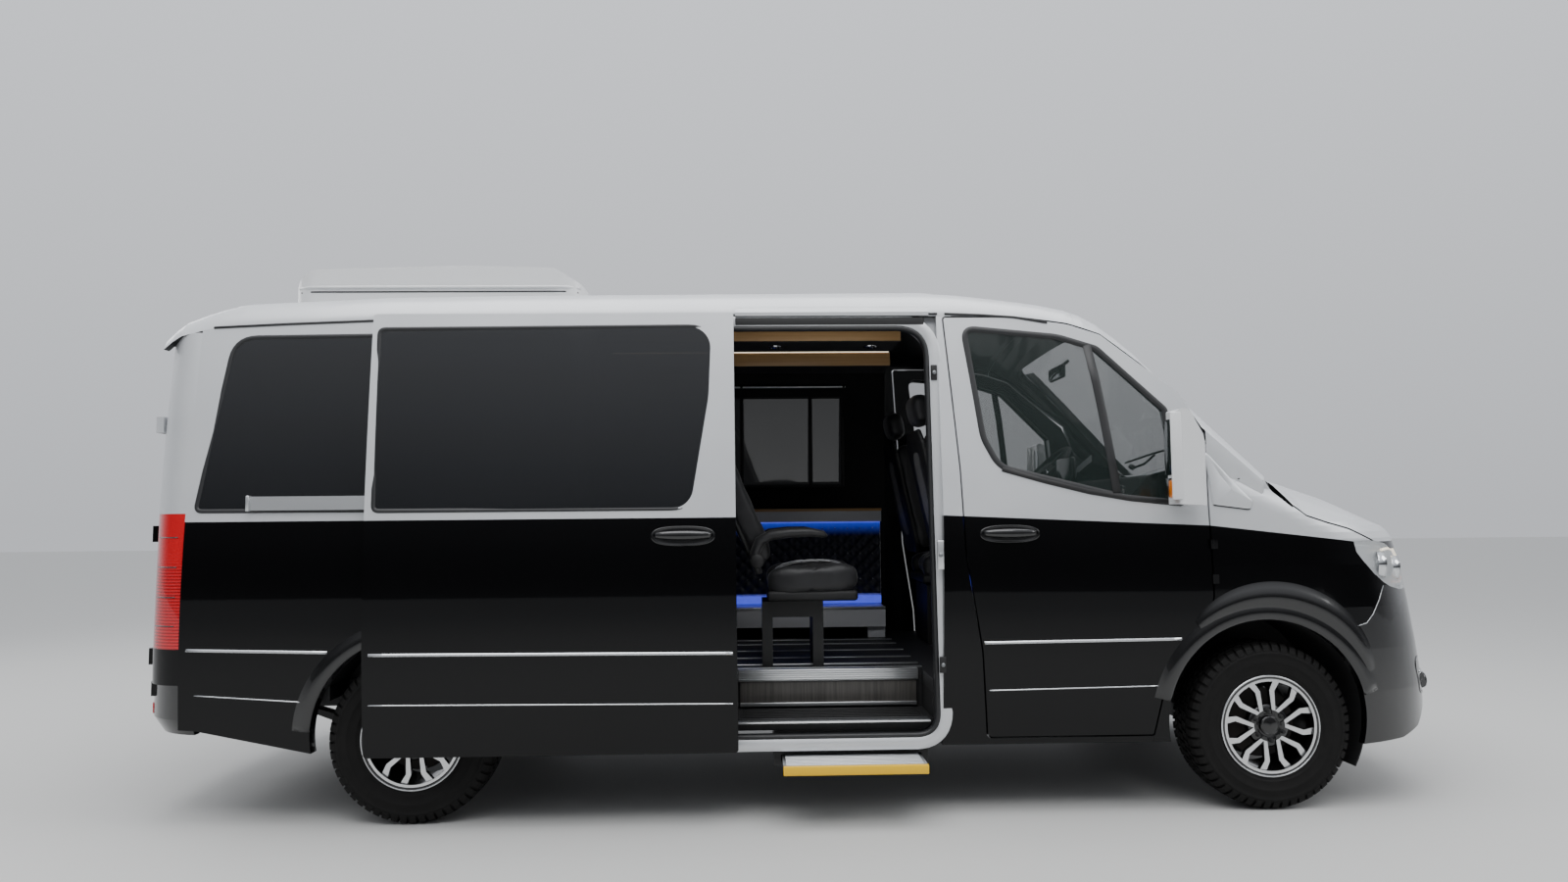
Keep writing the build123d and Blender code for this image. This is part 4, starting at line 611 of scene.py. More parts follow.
for side, word in SIDES:
    skin = on_side(side)
    door = "front_door_" + word
    moulding("front_glass_seal_" + word, rounded(FRONT_GLASS), [(a * 1.5, b) for a, b in SEAL], skin, SOFT_RUBBER,
             door, closed=True)
    moulding("quarter_glass_seal_" + word, rounded(QUARTER_GLASS), SEAL, skin, SOFT_RUBBER, closed=True)
    rear = [(side * y, z, r) for y, z, r in REAR_GLASS]
    moulding("rear_glass_seal_" + word, rounded(rear), SEAL, on_rear, SOFT_RUBBER, "rear_door_" + word, closed=True)
    # Upright bar between the moving glass and the fixed front pane
    moulding("glass_divider_" + word, [(1232, 2026), (1262, 1860), (1285, 1690), (1306, 1520), (1322, 1366)],
             band(19, 0.3, 17, 4), skin, SOFT_RUBBER, door)
    # Waist seal under the door glass
    moulding("glass_waist_seal_" + word, [(824, 1474), (1010, 1420), (1200, 1372), (1380, 1340), (1600, 1316)],
             band(12, 0.3, 9, 5), skin, BLACK_GRAIN, door)
moulding("middle_glass_seal", rounded(MIDDLE_GLASS), SEAL, on_side(LEFT), SOFT_RUBBER, closed=True)
moulding("slide_glass_seal", rounded(SLIDE_GLASS), SEAL, on_side(RIGHT, DOOR_SLIDE_OUT), SOFT_RUBBER, closed=True)

# Lower cladding and arches. The crease and seam lines are bright metal: painted highlights of the sky on the black
# paint
CLADDING = [(-4, 0.2), (-3, 5), (1, 5.5), (8, 0.3)]
LOWER_SEAM = [(-2, 0.2), (-1.5, 2.2), (0, 2.4), (2.5, 0.2)]
for side, word in SIDES:
    skin = on_side(side)
    door = "front_door_" + word
    moulding("crease_quarter_" + word, straight(-2632, 738, -2050, 722), CLADDING, skin, BRIGHT_TRIM_AND_PAINTED_HIGHLIGHT)
    moulding("crease_door_" + word, straight(722, 728, 1572, 734), CLADDING, skin, BRIGHT_TRIM_AND_PAINTED_HIGHLIGHT, door)
    moulding("seam_quarter_" + word, straight(-2596, 552, -2110, 516), LOWER_SEAM, skin, BRIGHT_TRIM_AND_PAINTED_HIGHLIGHT)
    moulding("seam_door_" + word, straight(740, 528, 1468, 538), LOWER_SEAM, skin, BRIGHT_TRIM_AND_PAINTED_HIGHLIGHT, door)
slid = on_side(RIGHT, DOOR_SLIDE_OUT)
moulding("crease_slide", straight(-1838, 723, -350, 713), CLADDING, slid, BRIGHT_TRIM_AND_PAINTED_HIGHLIGHT)
moulding("seam_slide", straight(-1838, 521, -350, 508), LOWER_SEAM, slid, BRIGHT_TRIM_AND_PAINTED_HIGHLIGHT)
moulding("crease_left_middle", straight(-1280, 722, 640, 728), CLADDING, on_side(LEFT), BRIGHT_TRIM_AND_PAINTED_HIGHLIGHT)
moulding("seam_left_middle", straight(-1280, 516, 640, 528), LOWER_SEAM, on_side(LEFT), BRIGHT_TRIM_AND_PAINTED_HIGHLIGHT)


def arch(cx, cz, radius, from_deg, to_deg, steps=40):
    """Points of a wheel arch from one angle to another, in degrees up from the front."""
    sweep = [radians(from_deg + (to_deg - from_deg) * i / steps) for i in range(steps + 1)]
    return [(cx + radius * cos(t), cz + radius * sin(t)) for t in sweep]


FLARE = [(-31, 0.3), (-29, 4), (-22, 7.5), (-8, 9.4), (8, 8.6), (22, 5.2), (34, 2.2), (44, 0.2)]
BULGE = [(0, 0), (0.14, 0.45), (0.30, 0.86), (0.46, 1.0), (0.62, 0.86), (0.80, 0.42), (0.92, 0.12), (1, 0)]
for side, word in SIDES:
    skin = on_side(side)
    moulding("front_arch_flare_" + word, arch(ARCH_X, ARCH_Z, 462, 168, 14), FLARE, skin, BLACK_GLOSS)
    moulding("rear_arch_flare_" + word, arch(REAR_AXLE, 366, 449, 176, 16), FLARE, skin, BLACK_GLOSS)
    # Muscle pressed in the wing over the wheel, fading out at both ends
    rows = []
    for angle in range(24, 127, 3):
        turn = radians(angle)
        fade = sin(pi * (angle - 23) / 105) ** 0.6
        width = 40 + 84 * fade
        rows.append([skin(ARCH_X + (474 + width * away) * cos(turn), ARCH_Z + (474 + width * away) * sin(turn),
                          0.3 + 19 * fade * rise) for away, rise in BULGE])
    sheet("wing_muscle_" + word, rows, BLACK_GLOSS)

BUMPER_SEAM = [(2512, 949), (2476, 889), (2435, 830), (2395, 792), (2339, 779), (2262, 772)]
for side, word in SIDES:
    # The seam line is bright metal: a painted highlight on the black bumper
    moulding("bumper_seam_" + word, BUMPER_SEAM, band(1.4, 0.3, 1.1, 1.6), on_side(side), BRIGHT_TRIM_AND_PAINTED_HIGHLIGHT)
    # Lower end of the wheel-well liner, with its flap ahead of the tyre
    liner = []
    for angle in range(4, -32, -4):
        turn = radians(angle)
        liner.append([(ARCH_X + r * cos(turn), side * y, ARCH_Z + r * sin(turn))
                      for r, y in ((433, 640), (433, 962), (438, 962), (438, 640))])
    loft("splash_guard_" + word, liner, BLACK_GRAIN, smooth=False)

# Silver pillars beside the screen, laid on its edges
screen_mesh = nodes["windscreen"].data
screen_tree = BVHTree.FromPolygons([v.co / MM for v in screen_mesh.vertices],
                                   [p.vertices for p in screen_mesh.polygons])


def screen_edge(z):
    """Half width of the screen at a height."""
    half = 960
    while half > 500 and screen_tree.ray_cast(Vector((BEYOND, half, z)), Vector((-1, 0, 0)))[0] is None:
        half -= 3
    return half


for side, word in SIDES:
    heights = [1500, 1560, 1640, 1720, 1800, 1880, 1960, 2040, 2110]
    rows = []
    for z in heights:
        edge = screen_edge(z)
        rows.append([on_front(side * (edge - inset), z, lift)
                     for inset, lift in ((0, 0.5), (2, 5), (84, 5), (88, 0.5))])
    sheet("screen_pillar_" + word, rows, SILVER)

# Feet of the screen pillars, closing the wedge between the roof's lower edge and the wings. Going down from the
# edge, the wedge starts where the skin steps in by a ledge and ends where it comes back out.
EDGE_START, EDGE_FALL, LEDGE, SEATED = 1700, 0.945, 22, 3
for side, word in SIDES:
    rows = []
    for x in range(1732, 2040, 11):
        edge = EDGE_START - (x - EDGE_START) * EDGE_FALL
        heights = []
        for drop in range(0, 260, 4):
            hit = cast((x, side * BESIDE, edge - drop), (0, -side, 0))
            heights.append((edge - drop, abs(hit.y) if hit else 0))
        steps = [i for i in range(1, len(heights)) if heights[i][1] < heights[i - 1][1] - LEDGE]
        if not steps:
            continue
        z1, y1 = heights[steps[0] - 1]
        lower = [(z, y) for z, y in heights[steps[0]:] if y >= y1 - SEATED]
        if not lower:
            continue
        z2, y2 = lower[0]
        rows.append([(x, side * (y1 + (y2 - y1) * t + 0.6 + 5 * sin(pi * t)), z1 + (z2 - z1) * t)
                     for t in (0, 0.25, 0.5, 0.75, 1)])
    if len(rows) > 1:
        sheet("pillar_foot_panel_" + word, rows, PAINT)


# Door handles, rail, gutters, mirrors
def pull_handle(name, x0, x1, z0, z1, place, body):
    """A flush cup with a bowed grab bar across it."""
    cx, cz = (x0 + x1) / 2, (z0 + z1) / 2
    across = x1 - x0
    cup = [(cx + across / 2 * squared(cos(turn), 0.7), cz + (z1 - z0) / 2 * squared(sin(turn), 0.8))
           for turn in turns(40)]
    dome(name + "_cup", cup, (cx, cz), ((1.0, 0.3), (0.97, 2.2), (0.92, 0.9), (0.7, 0.7), (0.02, 0.6)), place,
         BLACK_GLOSS, body)
    bar = []
    for i in range(17):
        t = i / 16
        x = x0 + across * (0.04 + 0.92 * t)
        bow = sin(pi * t)
        tall = 9 + 9 * bow ** 0.6
        out = 3 + 30 * bow ** 0.45
        bar.append([place(x, cz + 4 + tall * sin(a), out + 7 * cos(a)) for a in turns(14)])
    loft(name + "_bar", bar, BLACK_GLOSS, body)
    lathe(name + "_lock", place(x1 - across * 0.08, cz + 3, 1), (0, -1 if place(0, 1200, 0)[1] < 0 else 1, 0),
          [(0.2, 7), (8, 7), (10, 5), (10, 0)], GALVANISED, segments=24, body=body)


for side, word in SIDES:
    pull_handle("front_handle_" + word, 716, 974, 1155, 1230, on_side(side), "front_door_" + word)
pull_handle("slide_handle", -687, -421, 1158, 1240, slid, "body")

# Slide rail: the pale edges of its channel along the rear quarter, with a dark strip in the slot between them as
# painted shade
rail = on_side(RIGHT)
moulding("rail_upper_lip", straight(-2392, 1376, -1860, 1376), band(4, 1, 4, 7), rail, ALUMINIUM, smooth=False)
moulding("rail_lower_lip", straight(-2392, 1326, -1860, 1326), band(5, 1, 5, 9), rail, ALUMINIUM, smooth=False)
moulding("rail_slot_shade", straight(-2386, 1350, -1860, 1350), band(9, 16.2, 9, 16.8), rail, DARK_LINING, smooth=False)
block("rail_end", (-2404, -1012, 1318), (-2390, -985, 1384), ALUMINIUM, 3)

# Drip rails along the roof line, and the cover of the upper track over the doorway
DRIP = [(-3, 0.3), (-2, 4), (4, 5), (7, 3), (8, 0.3)]
for side, word in SIDES:
    moulding("drip_rail_" + word, [(-2615, 2121), (-2300, 2136), (-1922, 2150), (-900, 2166), (567, 2172)], DRIP,
             on_side(side), SOFT_RUBBER)
    moulding("drip_rail_front_" + word, [(600, 2172), (760, 2166), (910, 2156), (1060, 2130)], DRIP, on_side(side),
             SOFT_RUBBER)
moulding("track_cover", straight(-336, 2186, 526, 2186), [(-20, 1), (-20, 12), (-4, 14), (16, 12), (22, 3)],
         on_side(RIGHT), PAINT, smooth=False)

# Raised foot of the mirror, ahead of the front door
for side, word in SIDES:
    skin = on_side(side)
    foot = rounded([(1716, 1552, 10), (1835, 1419, 30), (1915, 1323, 14), (1903, 1284, 16), (1739, 1306, 12)], 5)
    centre = [sum(values) / len(foot) for values in zip(*foot)]
    dome("mirror_foot_" + word, foot, centre, ((1.0, 0.4), (0.99, 4), (0.93, 7), (0.75, 8.5), (0.4, 9), (0.02, 9)),
         skin, PAINT)
    moulding("pillar_seam_" + word, [(1858, 1421), (1920, 1436), (2001, 1448)], band(2, 0.3, 2, 1.4), skin,
             SOFT_RUBBER)
    # Repeater lamp, glasses and rim of the mirror, measured from its own box
    low, high = [[c / MM for c in corner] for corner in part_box("mirror_" + word)[:2]]
    outer = low[1] if side == RIGHT else high[1]
    for part, x0, x1, inset, depth, z0, z1, finish, bevel in (
            ("repeater_", -31, 26, 0.2, 50, 30, 108, AMBER_LENS, 8),
            ("mirror_glass_", -2, 3, 72, 150, 130, 370, CHROME, 2),
            ("wide_mirror_glass_", -2, 3, 72, 150, 40, 118, CHROME, 2),
            ("mirror_rim_", -30, 20, 0, 12, 24, 395, WHITE_ABS, 5)):
        y0, y1 = sorted((outer - side * inset, outer - side * depth))
        block(part + word, (low[0] + x0, y0, low[2] + z0), (low[0] + x1, y1, low[2] + z1), finish, bevel,
              "front_door_" + word)


# Roof unit and roof
def on_unit(side):
    def place(x, z, lift):
        hit = cast((x, side * BESIDE, z), (0, -side, 0))
        return (x, side * ((abs(hit.y) if hit else 560) + lift), z)
    return place


for side, word in SIDES:
    flank = on_unit(side)
    # Painted shade: a dark strip stands for the shadow in the groove below the unit's white ledge
    moulding("unit_groove_shade_" + word, straight(-2396, 2352, -1090, 2352), band(3.5, 0.3, 3, 2.5), flank, SOFT_RUBBER)
    moulding("unit_ledge_" + word, straight(-2410, 2374, -1080, 2374), [(-6, 0.3), (-5, 7), (5, 7), (8, 0.3)], flank,
             WHITE_ABS)


def on_unit_front(y, z, lift):
    return ((cast((-300, y, z), (-1, 0, 0)) or Vector((-1070, 0, 0))).x + lift, y, z)


moulding("unit_grille_front", straight(-330, 2400, 330, 2400), band(22, 0.4, 22, 2), on_unit_front, BLACK_GRAIN)
FAN_R, FAN_BAR_R = 160, 158  # The bars end just inside the fan's ring
for k, y in enumerate((-260, 260)):
    for m, x in enumerate((-1500, -2050)):
        place = on_top(x, y, 0)
        lathe("unit_fan_%d_%d" % (k, m), place, (0, 0, 1), [(175, -4), (175, 0.1), (FAN_R, 0.1), (FAN_R, -4)],
              WHITE_ABS, 48)
        lathe("unit_fan_mesh_%d_%d" % (k, m), place, (0, 0, 1), [(FAN_R, -2), (FAN_R, 0.05), (1, 0.05), (1, -2)],
              BLACK_GRAIN, 48)
        for turn in range(0, 180, 30):
            a = radians(turn)
            ends = [on_top(x + FAN_BAR_R * cos(a) * s, y + FAN_BAR_R * sin(a) * s, -2.3) for s in (-1, 0, 1)]
            tube("unit_fan_bar_%d_%d_%d" % (k, m, turn), ends, 2.5, WHITE_ABS)
for k, y in enumerate((-780, -640, 640, 780)):
    moulding("roof_bead_%d" % k, straight(-2560, y, 560, y), band(16, 0.2, 9, 3.5), on_top, PAINT)
block("brake_lamp_high", (-2842, -120, 2118), (-2790, 120, 2140), RED_LENS, 4)

# Nose
for side, word in SIDES:
    # Reflector bowls and projector lenses behind the lamp cover
    for k, (x, y, z, radius) in enumerate(((2520, 905, 1040, 52), (2645, 800, 1020, 48))):
        aim = (1, side * 0.35, -0.02)
        lathe("lamp_bowl_%d_%s" % (k, word), (x, side * y, z), aim,
              [(radius * 0.3, -30), (radius * 0.8, -14), (radius, 12), (radius + 5, 12), (radius + 5, -20)], CHROME,
              40)
        lathe("lamp_lens_%d_%s" % (k, word), (x, side * y, z), aim,
              [(radius * 0.62, -16), (radius * 0.6, 2), (radius * 0.42, 14), (1, 20)], LAMP_COVER, 40)
    for part, radius, finish, path in (
            ("lamp_guide_", 6, WHITE_LIGHT, ((640, 1010), (700, 1072), (760, 1100), (820, 1108), (880, 1104))),
            ("lamp_guide_low_", 5, AMBER_LENS, ((640, 985), (720, 965), (800, 955), (870, 960)))):
        tube(part + word, [on_front(side * y, z, -9) for y, z in path], radius, finish)
    # Fog lamp recess with its bright blade
    recess = rounded([(side * 560, 600, 30), (side * 820, 620, 50), (side * 800, 450, 50), (side * 590, 470, 30)])
    moulding("fog_recess_" + word, recess, band(5, 0.3, 4, 4), on_front, BLACK_GLOSS, closed=True)
    moulding("fog_blade_" + word, [(side * y, 540 + (y - 590) * 0.03) for y in range(590, 800, 30)],
             band(7, 0.4, 5, 6), on_front, CHROME)
    lathe("fog_lamp_" + word, on_front(side * 690, 500, 0), (1, 0, 0),
          [(38, -6), (38, 1.5), (33, 3), (30, 1), (1, 2)], PRIVACY_GLASS, 40)

for k, z in enumerate((812, 866, 920, 974, 1028, 1076)):
    half = 500 if z < 1000 else 470
    moulding("grille_bar_%d" % k, straight(-half, z, half, z, 50),
             [(-13, 0.4), (-11, 11), (0, 15), (11, 11), (13, 0.4)], on_front, BLACK_GLOSS)
for side, word in SIDES:
    moulding("grille_edge_" + word, [(side * 505, 800), (side * 530, 930), (side * 500, 1076)], band(9, 0.4, 7, 9),
             on_front, BLACK_GLOSS)
moulding("bumper_air_slot", straight(-430, 562, 430, 562, 50), band(26, 0.4, 24, 2), on_front, BLACK_GRAIN,
         smooth=False)
for k, z in enumerate((549, 562, 575)):
    moulding("bumper_air_bar_%d" % k, straight(-425, z, 425, z, 50), band(3, 1.5, 3, 4), on_front, BLACK_GLOSS,
             smooth=False)
moulding("plate_holder_front", straight(-265, 665, 265, 665, 50), band(60, 0.4, 60, 7), on_front, BLACK_GRAIN,
         smooth=False)
moulding("plate_front", straight(-258, 665, 258, 665, 50), band(54, 6, 54, 8.5), on_front, WHITE_ABS, smooth=False)
lathe("towing_cap", on_front(330, 640, 0), (1, 0, 0), [(36, -3), (36, 2), (33, 3.5), (1, 4)], BLACK_GLOSS, 40)

# Wipers resting at the foot of the screen, and the mirror on the glass
for k, (y0, y1) in enumerate(((640, 40), (10, -600))):
    arm = [on_front(y0 - 20, 1540, 14), on_front(y0 - 140, 1560, 26), on_front((y0 + y1) / 2, 1600, 30)]
    tube("wiper_arm_%d" % k, arm, 7, BLACK_GRAIN)
    blade = [on_front(y0 + (y1 - y0) * i / 12, 1572 + 46 * sin(pi * i / 24), 12) for i in range(13)]
    tube("wiper_blade_%d" % k, blade, 6, SOFT_RUBBER)
    lathe("wiper_pivot_%d" % k, on_front(y0 - 20, 1540, 0), (0.6, 0, 0.8), [(18, -4), (18, 14), (12, 22), (1, 24)],
          BLACK_GRAIN, 24)
block("screen_mirror", (1350, -120, 1985), (1375, 120, 2060), BLACK_GRAIN, 12)
block("screen_mirror_glass", (1347, -110, 1992), (1351, 110, 2052), CHROME, 2)
tube("screen_mirror_stem", [(1370, 0, 2030), (1400, 0, 2070), (1425, 0, 2090)], 9, BLACK_GRAIN)

# Bonnet creases
for side, word in SIDES:
    moulding("bonnet_bead_" + word, [(2120 + 50 * i, side * (640 - 14 * i)) for i in range(12)], band(14, 0.2, 6, 4),
             on_top, PAINT, "bonnet")

# Tail
for side, word in SIDES:
    body = "rear_door_" + word
    for k, z in enumerate((690, 1700)):
        block("hinge_leaf_%d_%s" % (k, word), (-2872, side * 795 - 26, z - 34), (-2846, side * 795 + 26, z + 34),
              BLACK_GLOSS, 5)
    path = rounded([(side * 90, 1240, 60), (side * 720, 1240, 60), (side * 720, 720, 60), (side * 90, 720, 60)])
    moulding("rear_panel_bead_" + word, path, band(8, 0.2, 3, 3), on_rear, PAINT, body, closed=True)
    moulding("rear_wiper_" + word, [(side * 160, 1372), (side * 330, 1366), (side * 520, 1372)], band(6, 1, 5, 14),
             on_rear, BLACK_GRAIN, body)
    moulding("reflector_" + word, straight(side * 620, 480, side * 860, 480, 40), band(22, 0.4, 20, 6), on_rear,
             RED_LENS)
    for k, z in enumerate((840, 960, 1085, 1210)):
        moulding("tail_lamp_rib_%d_%s" % (k, word), straight(-2800, z, -2690, z, 20), band(2, 0.3, 2, 2),
                 on_side(side), BLACK_GLOSS)
moulding("rear_grip", [(-62, 1180), (-62, 1080), (-62, 960)], [(-30, 0.4), (-27, 16), (-6, 26), (20, 18), (30, 0.4)],
         on_rear, BLACK_GRAIN, "rear_door_right")
moulding("plate_lamp_bar", straight(130, 1150, 690, 1150, 50), [(-26, 0.4), (-22, 24), (18, 22), (26, 0.4)], on_rear,
         BLACK_GLOSS, "rear_door_left")
moulding("plate_rear", straight(150, 1040, 670, 1040, 50), band(56, 0.4, 56, 5), on_rear, WHITE_ABS, "rear_door_left",
         smooth=False)


def on_left_leaf(y, z, lift):
    """A point over the seam between the rear doors, as high as the left door's edge beside it."""
    return (on_rear(y + 12, z, lift)[0], y, z)


moulding("rear_seam_strip", [(0, 2080), (0, 1700), (0, 1300), (0, 900), (0, 640)], band(9, 1, 7, 5), on_left_leaf,
         SOFT_RUBBER, "rear_door_left")
moulding("rear_tread_strip", straight(-760, 715, 760, 715, 60), band(8, 0.4, 7, 3), on_rear, BLACK_GRAIN)

# Wheels
TREAD, TREAD_BLOCKS = 349, 54
PITCH = 2 * pi / TREAD_BLOCKS
NUT_CIRCLE, VALVE_CIRCLE, VALVE_ANGLE = 64, 188, radians(96)
# Half of the tyre's profile, from its bead over the ribs of the wall to the tread's middle
TYRE_HALF = [
    (204, 96), (208, 101), (216, 103), (224, 105), (232, 107.5), (234, 109.5), (238, 108.8), (252, 112.5),
    (268, 114.5), (271, 116.4), (275, 115.2), (292, 115.5), (306, 114.2), (308, 116), (313, 114.8), (322, 109),
    (330, 101), (337, 92), (344, 83), (TREAD, 66), (TREAD, 0)]
TYRE_PROFILE = TYRE_HALF + [(r, -a) for r, a in TYRE_HALF[-2::-1]]
SHOULDER = [(63, 345, 354.6), (84, 343, 352.4), (99, 330, 346.5), (108, 318, 335.5), (112.5, 310, 323)]
WHEEL_RINGS = (
    ("rim_lip_", [(199, 94), (201, 106.6), (206, 107.2), (211, 107.2)], BLACK_GLOSS, 96),
    ("rim_bright_ring_", [(210, 106.5), (211, 108.4), (216, 107.6), (217.5, 103), (216, 98)], BRIGHT_TRIM_AND_PAINTED_HIGHLIGHT, 96),
    ("hub_cap_", [(41, 84), (41, 96), (38, 99), (34, 98), (31, 99.2), (1, 101)], BLACK_GLOSS, 48),
    ("hub_cap_ring_", [(38.5, 96), (38.5, 99.6), (35.5, 99.6), (35.5, 97)], BLACK_GLOSS, 48),
)


def tread_block(tread, wheel, a0, a1, rows, skew):
    """One tread block between two angles; the rows are (distance out, inner radius, outer radius)."""
    points, faces = tread
    x, side = wheel
    first = len(points)
    for away, low, high in rows:
        for radius in (low, high):
            for a in (a0, a1):
                turn = a + skew * away
                points.append((x + radius * cos(turn), side * (WHEEL_Y + away), HUB_Z + radius * sin(turn)))
    last = first + 4 * (len(rows) - 1)
    for p in range(first, last, 4):
        q = p + 4
        faces.extend([(p, p + 1, q + 1, q), (p + 2, q + 2, q + 3, p + 3), (p, q, q + 2, p + 2),
                      (p + 1, p + 3, q + 3, q + 1)])
    faces.append((first, first + 2, first + 3, first + 1))
    faces.append((last, last + 1, last + 3, last + 2))


for end, x in (("front", FRONT_AXLE), ("rear", REAR_AXLE)):
    for side, word in SIDES:
        body = "wheel_%s_%s" % (end, word)
        tag = "%s_%s" % (end, word)
        hub = (x, side * WHEEL_Y, HUB_Z)
        out = (0, side, 0)
        tyre = lathe("tyre_carcass_" + tag, hub, out, TYRE_PROFILE, RUBBER, 96, body)
        tread = ([], [])
        for k in range(TREAD_BLOCKS):
            a = k * PITCH
            tread_block(tread, (x, side), a, a + PITCH * 0.74, [(-16, 346, 356), (16, 346, 356)], 0.0008)
            for way in (1, -1):
                tread_block(tread, (x, side), a + PITCH * 0.3, a + PITCH * 1.02,
                            [(way * 24, 346, 355.8), (way * 54, 346, 355.0)], way * 0.0012)
                tread_block(tread, (x, side), a, a + PITCH * 0.70,
                            [(way * y, low, high) for y, low, high in SHOULDER], way * 0.0004)
        piece("tread_blocks_" + tag, tread[0], tread[1], RUBBER, body)
        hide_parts("tyre_" + tag)
        for part, profile, finish, segments in WHEEL_RINGS:
            lathe(part + tag, hub, out, profile, finish, segments, body)
        for k in range(6):
            turn = radians(36 + 60 * k)
            seat = (x + NUT_CIRCLE * cos(turn), side * WHEEL_Y, HUB_Z + NUT_CIRCLE * sin(turn))
            lathe("lug_nut_%d_%s" % (k, tag), seat, out, [(11, 80), (11, 92), (9, 93), (9, 100), (7, 104), (1, 105)],
                  STEEL_BLACK, 6, body, smooth=False)
        lathe("hub_face_" + tag, hub, out, [(40, 80), (56, 88), (86, 88), (92, 80), (92, 60)], BLACK_GLOSS, 48, body)
        across, up = cos(VALVE_ANGLE), sin(VALVE_ANGLE)
        lathe("valve_" + tag, (x + VALVE_CIRCLE * across, side * WHEEL_Y, HUB_Z + VALVE_CIRCLE * up),
              (-0.25 * across, side, -0.25 * up), [(5, 60), (5, 88), (4, 90), (4, 98), (0.5, 98)], SOFT_RUBBER, 12,
              body)
        # Brake disc and its hat behind the spokes
        brake_body = "knuckle_" + word if end == "front" else "body"
        lathe("brake_disc_" + tag, hub, out, [(62, -8), (62, 0), (150, 0), (150, -22), (62, -22)], CAST_IRON, 64,
              brake_body)

# Entry step and doorway
STEP_X0, STEP_X1 = -143, 447
for k in range(9):
    y = -1140 + 24 * k
    block("step_rib_%d" % k, (STEP_X0 + 10, y - 5, 255.5), (STEP_X1 - 10, y + 5, 259.5), ALUMINIUM, 1.5, "step_board")
block("step_edge", (STEP_X0 - 2, -1167.1, 224.5), (STEP_X1 + 2, -1149, 262), YELLOW_NOSING, 3, "step_board")
for k, x in enumerate((STEP_X0, STEP_X1)):
    block("step_cheek_%d" % k, (x - 1.5, -1150, 227), (x + 1.5, -945, 259), ALUMINIUM, 1, "step_board")

DOOR_X0, DOOR_X1 = -335, 490
block("nosing_upper", (DOOR_X0, -646, 566), (DOOR_X1, -590, 576), ALUMINIUM, 3)
block("nosing_face", (DOOR_X0, -646, 523), (DOOR_X1, -640, 572), ALUMINIUM, 2)
for k in range(4):
    block("nosing_rib_%d" % k, (DOOR_X0, -648.5, 530 + 10 * k), (DOOR_X1, -645, 534 + 10 * k), ALUMINIUM, 1)
block("riser_panel", (DOOR_X0 + 8, -639, 424), (DOOR_X1 - 8, -631, 524), GREY_WOOD, 1)
block("riser_foot", (DOOR_X0 + 8, -645, 410), (DOOR_X1 - 8, -632, 427), ALUMINIUM, 2)
for k in range(7):
    y = -672 - 36 * k
    block("tread_rib_%d" % k, (DOOR_X0 + 20, y - 7, 399), (DOOR_X1 - 20, y + 7, 404), BLACK_GRAIN, 1.5)
block("sill_plate", (DOOR_X0, -985, 398), (DOOR_X1, -940, 406), ALUMINIUM, 3)
block("sill_ridge", (DOOR_X0 + 4, -950, 404), (DOOR_X1 - 4, -942, 414), SOFT_RUBBER, 2)
for k, y in enumerate((-560, -440, -210, 60, 330, 520)):
    block("floor_rail_%d" % k, (-2300, y - 17, 570), (520, y + 17, 574.5), ALUMINIUM, 1.5)
    # The dark strip along each rail's slot is painted shade
    block("floor_rail_slot_%d" % k, (-2300, y - 5, 574), (520, y + 5, 575.4), DARK_LINING, 0.4)

# Rubber seal, latch plates and door-edge profile of the doorway
doorway = rounded([(-958, 347, 60), (-958, 2108, 100), (510, 2108, 130), (518, 347, 90)], 9)


def around_doorway(x, z, lift):
    """A point beside the doorway, on the even side surface."""
    return (x, RIGHT * (side_y(z) + lift), z)


moulding("doorway_seal", doorway, [(-6, -40), (-8, -6), (0, 6), (9, 4), (12, -6)], around_doorway, SOFT_RUBBER,
         closed=True)
moulding("jamb_skin", doorway, [(12, 0.4), (13, 2.2), (60, 2.2), (63, 0.4)], around_doorway, SILVER, closed=True)
# Painted shade: a dark block over the jamb stands for the shade inside the door's upper track
block("upper_track_shade", (-336, -(side_y(2137) + 4), 2116), (506, -(side_y(2137) - 30), 2158), BLACK_GRAIN, 3)
for k, (z, finish) in enumerate(((1905, STEEL_BLACK), (1105, ALUMINIUM), (640, STEEL_BLACK))):
    tall = 62 if k == 1 else 34
    block("latch_plate_%d" % k, (528, -side_y(z) - 4, z - tall), (556, -side_y(z) + 8, z + tall), finish, 3)
    lathe("latch_bolt_%d" % k, (542, -side_y(z) - 3, z), (0, -1, 0), [(9, 0), (9, 6), (6, 9), (1, 9)], GALVANISED, 20)

# Passenger cabin
# Quilted panel on the left wall, with a stud at each corner of its diamonds
points = []
DIAMOND = 75
COLUMNS, ROWS = 200, 56
PANEL_X, PANEL_Z, PANEL_LONG, PANEL_TALL = -1034, 812, 1528, 426
for i in range(COLUMNS + 1):
    for j in range(ROWS + 1):
        x = PANEL_X + PANEL_LONG * i / COLUMNS
        z = PANEL_Z + PANEL_TALL * j / ROWS
        a = pi * (x + z) / DIAMOND
        b = pi * (x - z) / DIAMOND
        puff = (abs(sin(a)) * abs(sin(b))) ** 0.45
        points.append((x, 793 - 15 * puff, z))
quilt = piece("quilted_wall_panel", points, grid_faces(COLUMNS + 1, ROWS + 1, False), QUILT, smooth=True)
stud_rows = []
for i in range(-14, 8):
    for j in range(11, 17):
        x, z = DIAMOND * (i + 0.5 * (j % 2)), DIAMOND * j
        if -1030 < x < 490 and 815 < z < 1235:
            stud_rows.append((x, z))
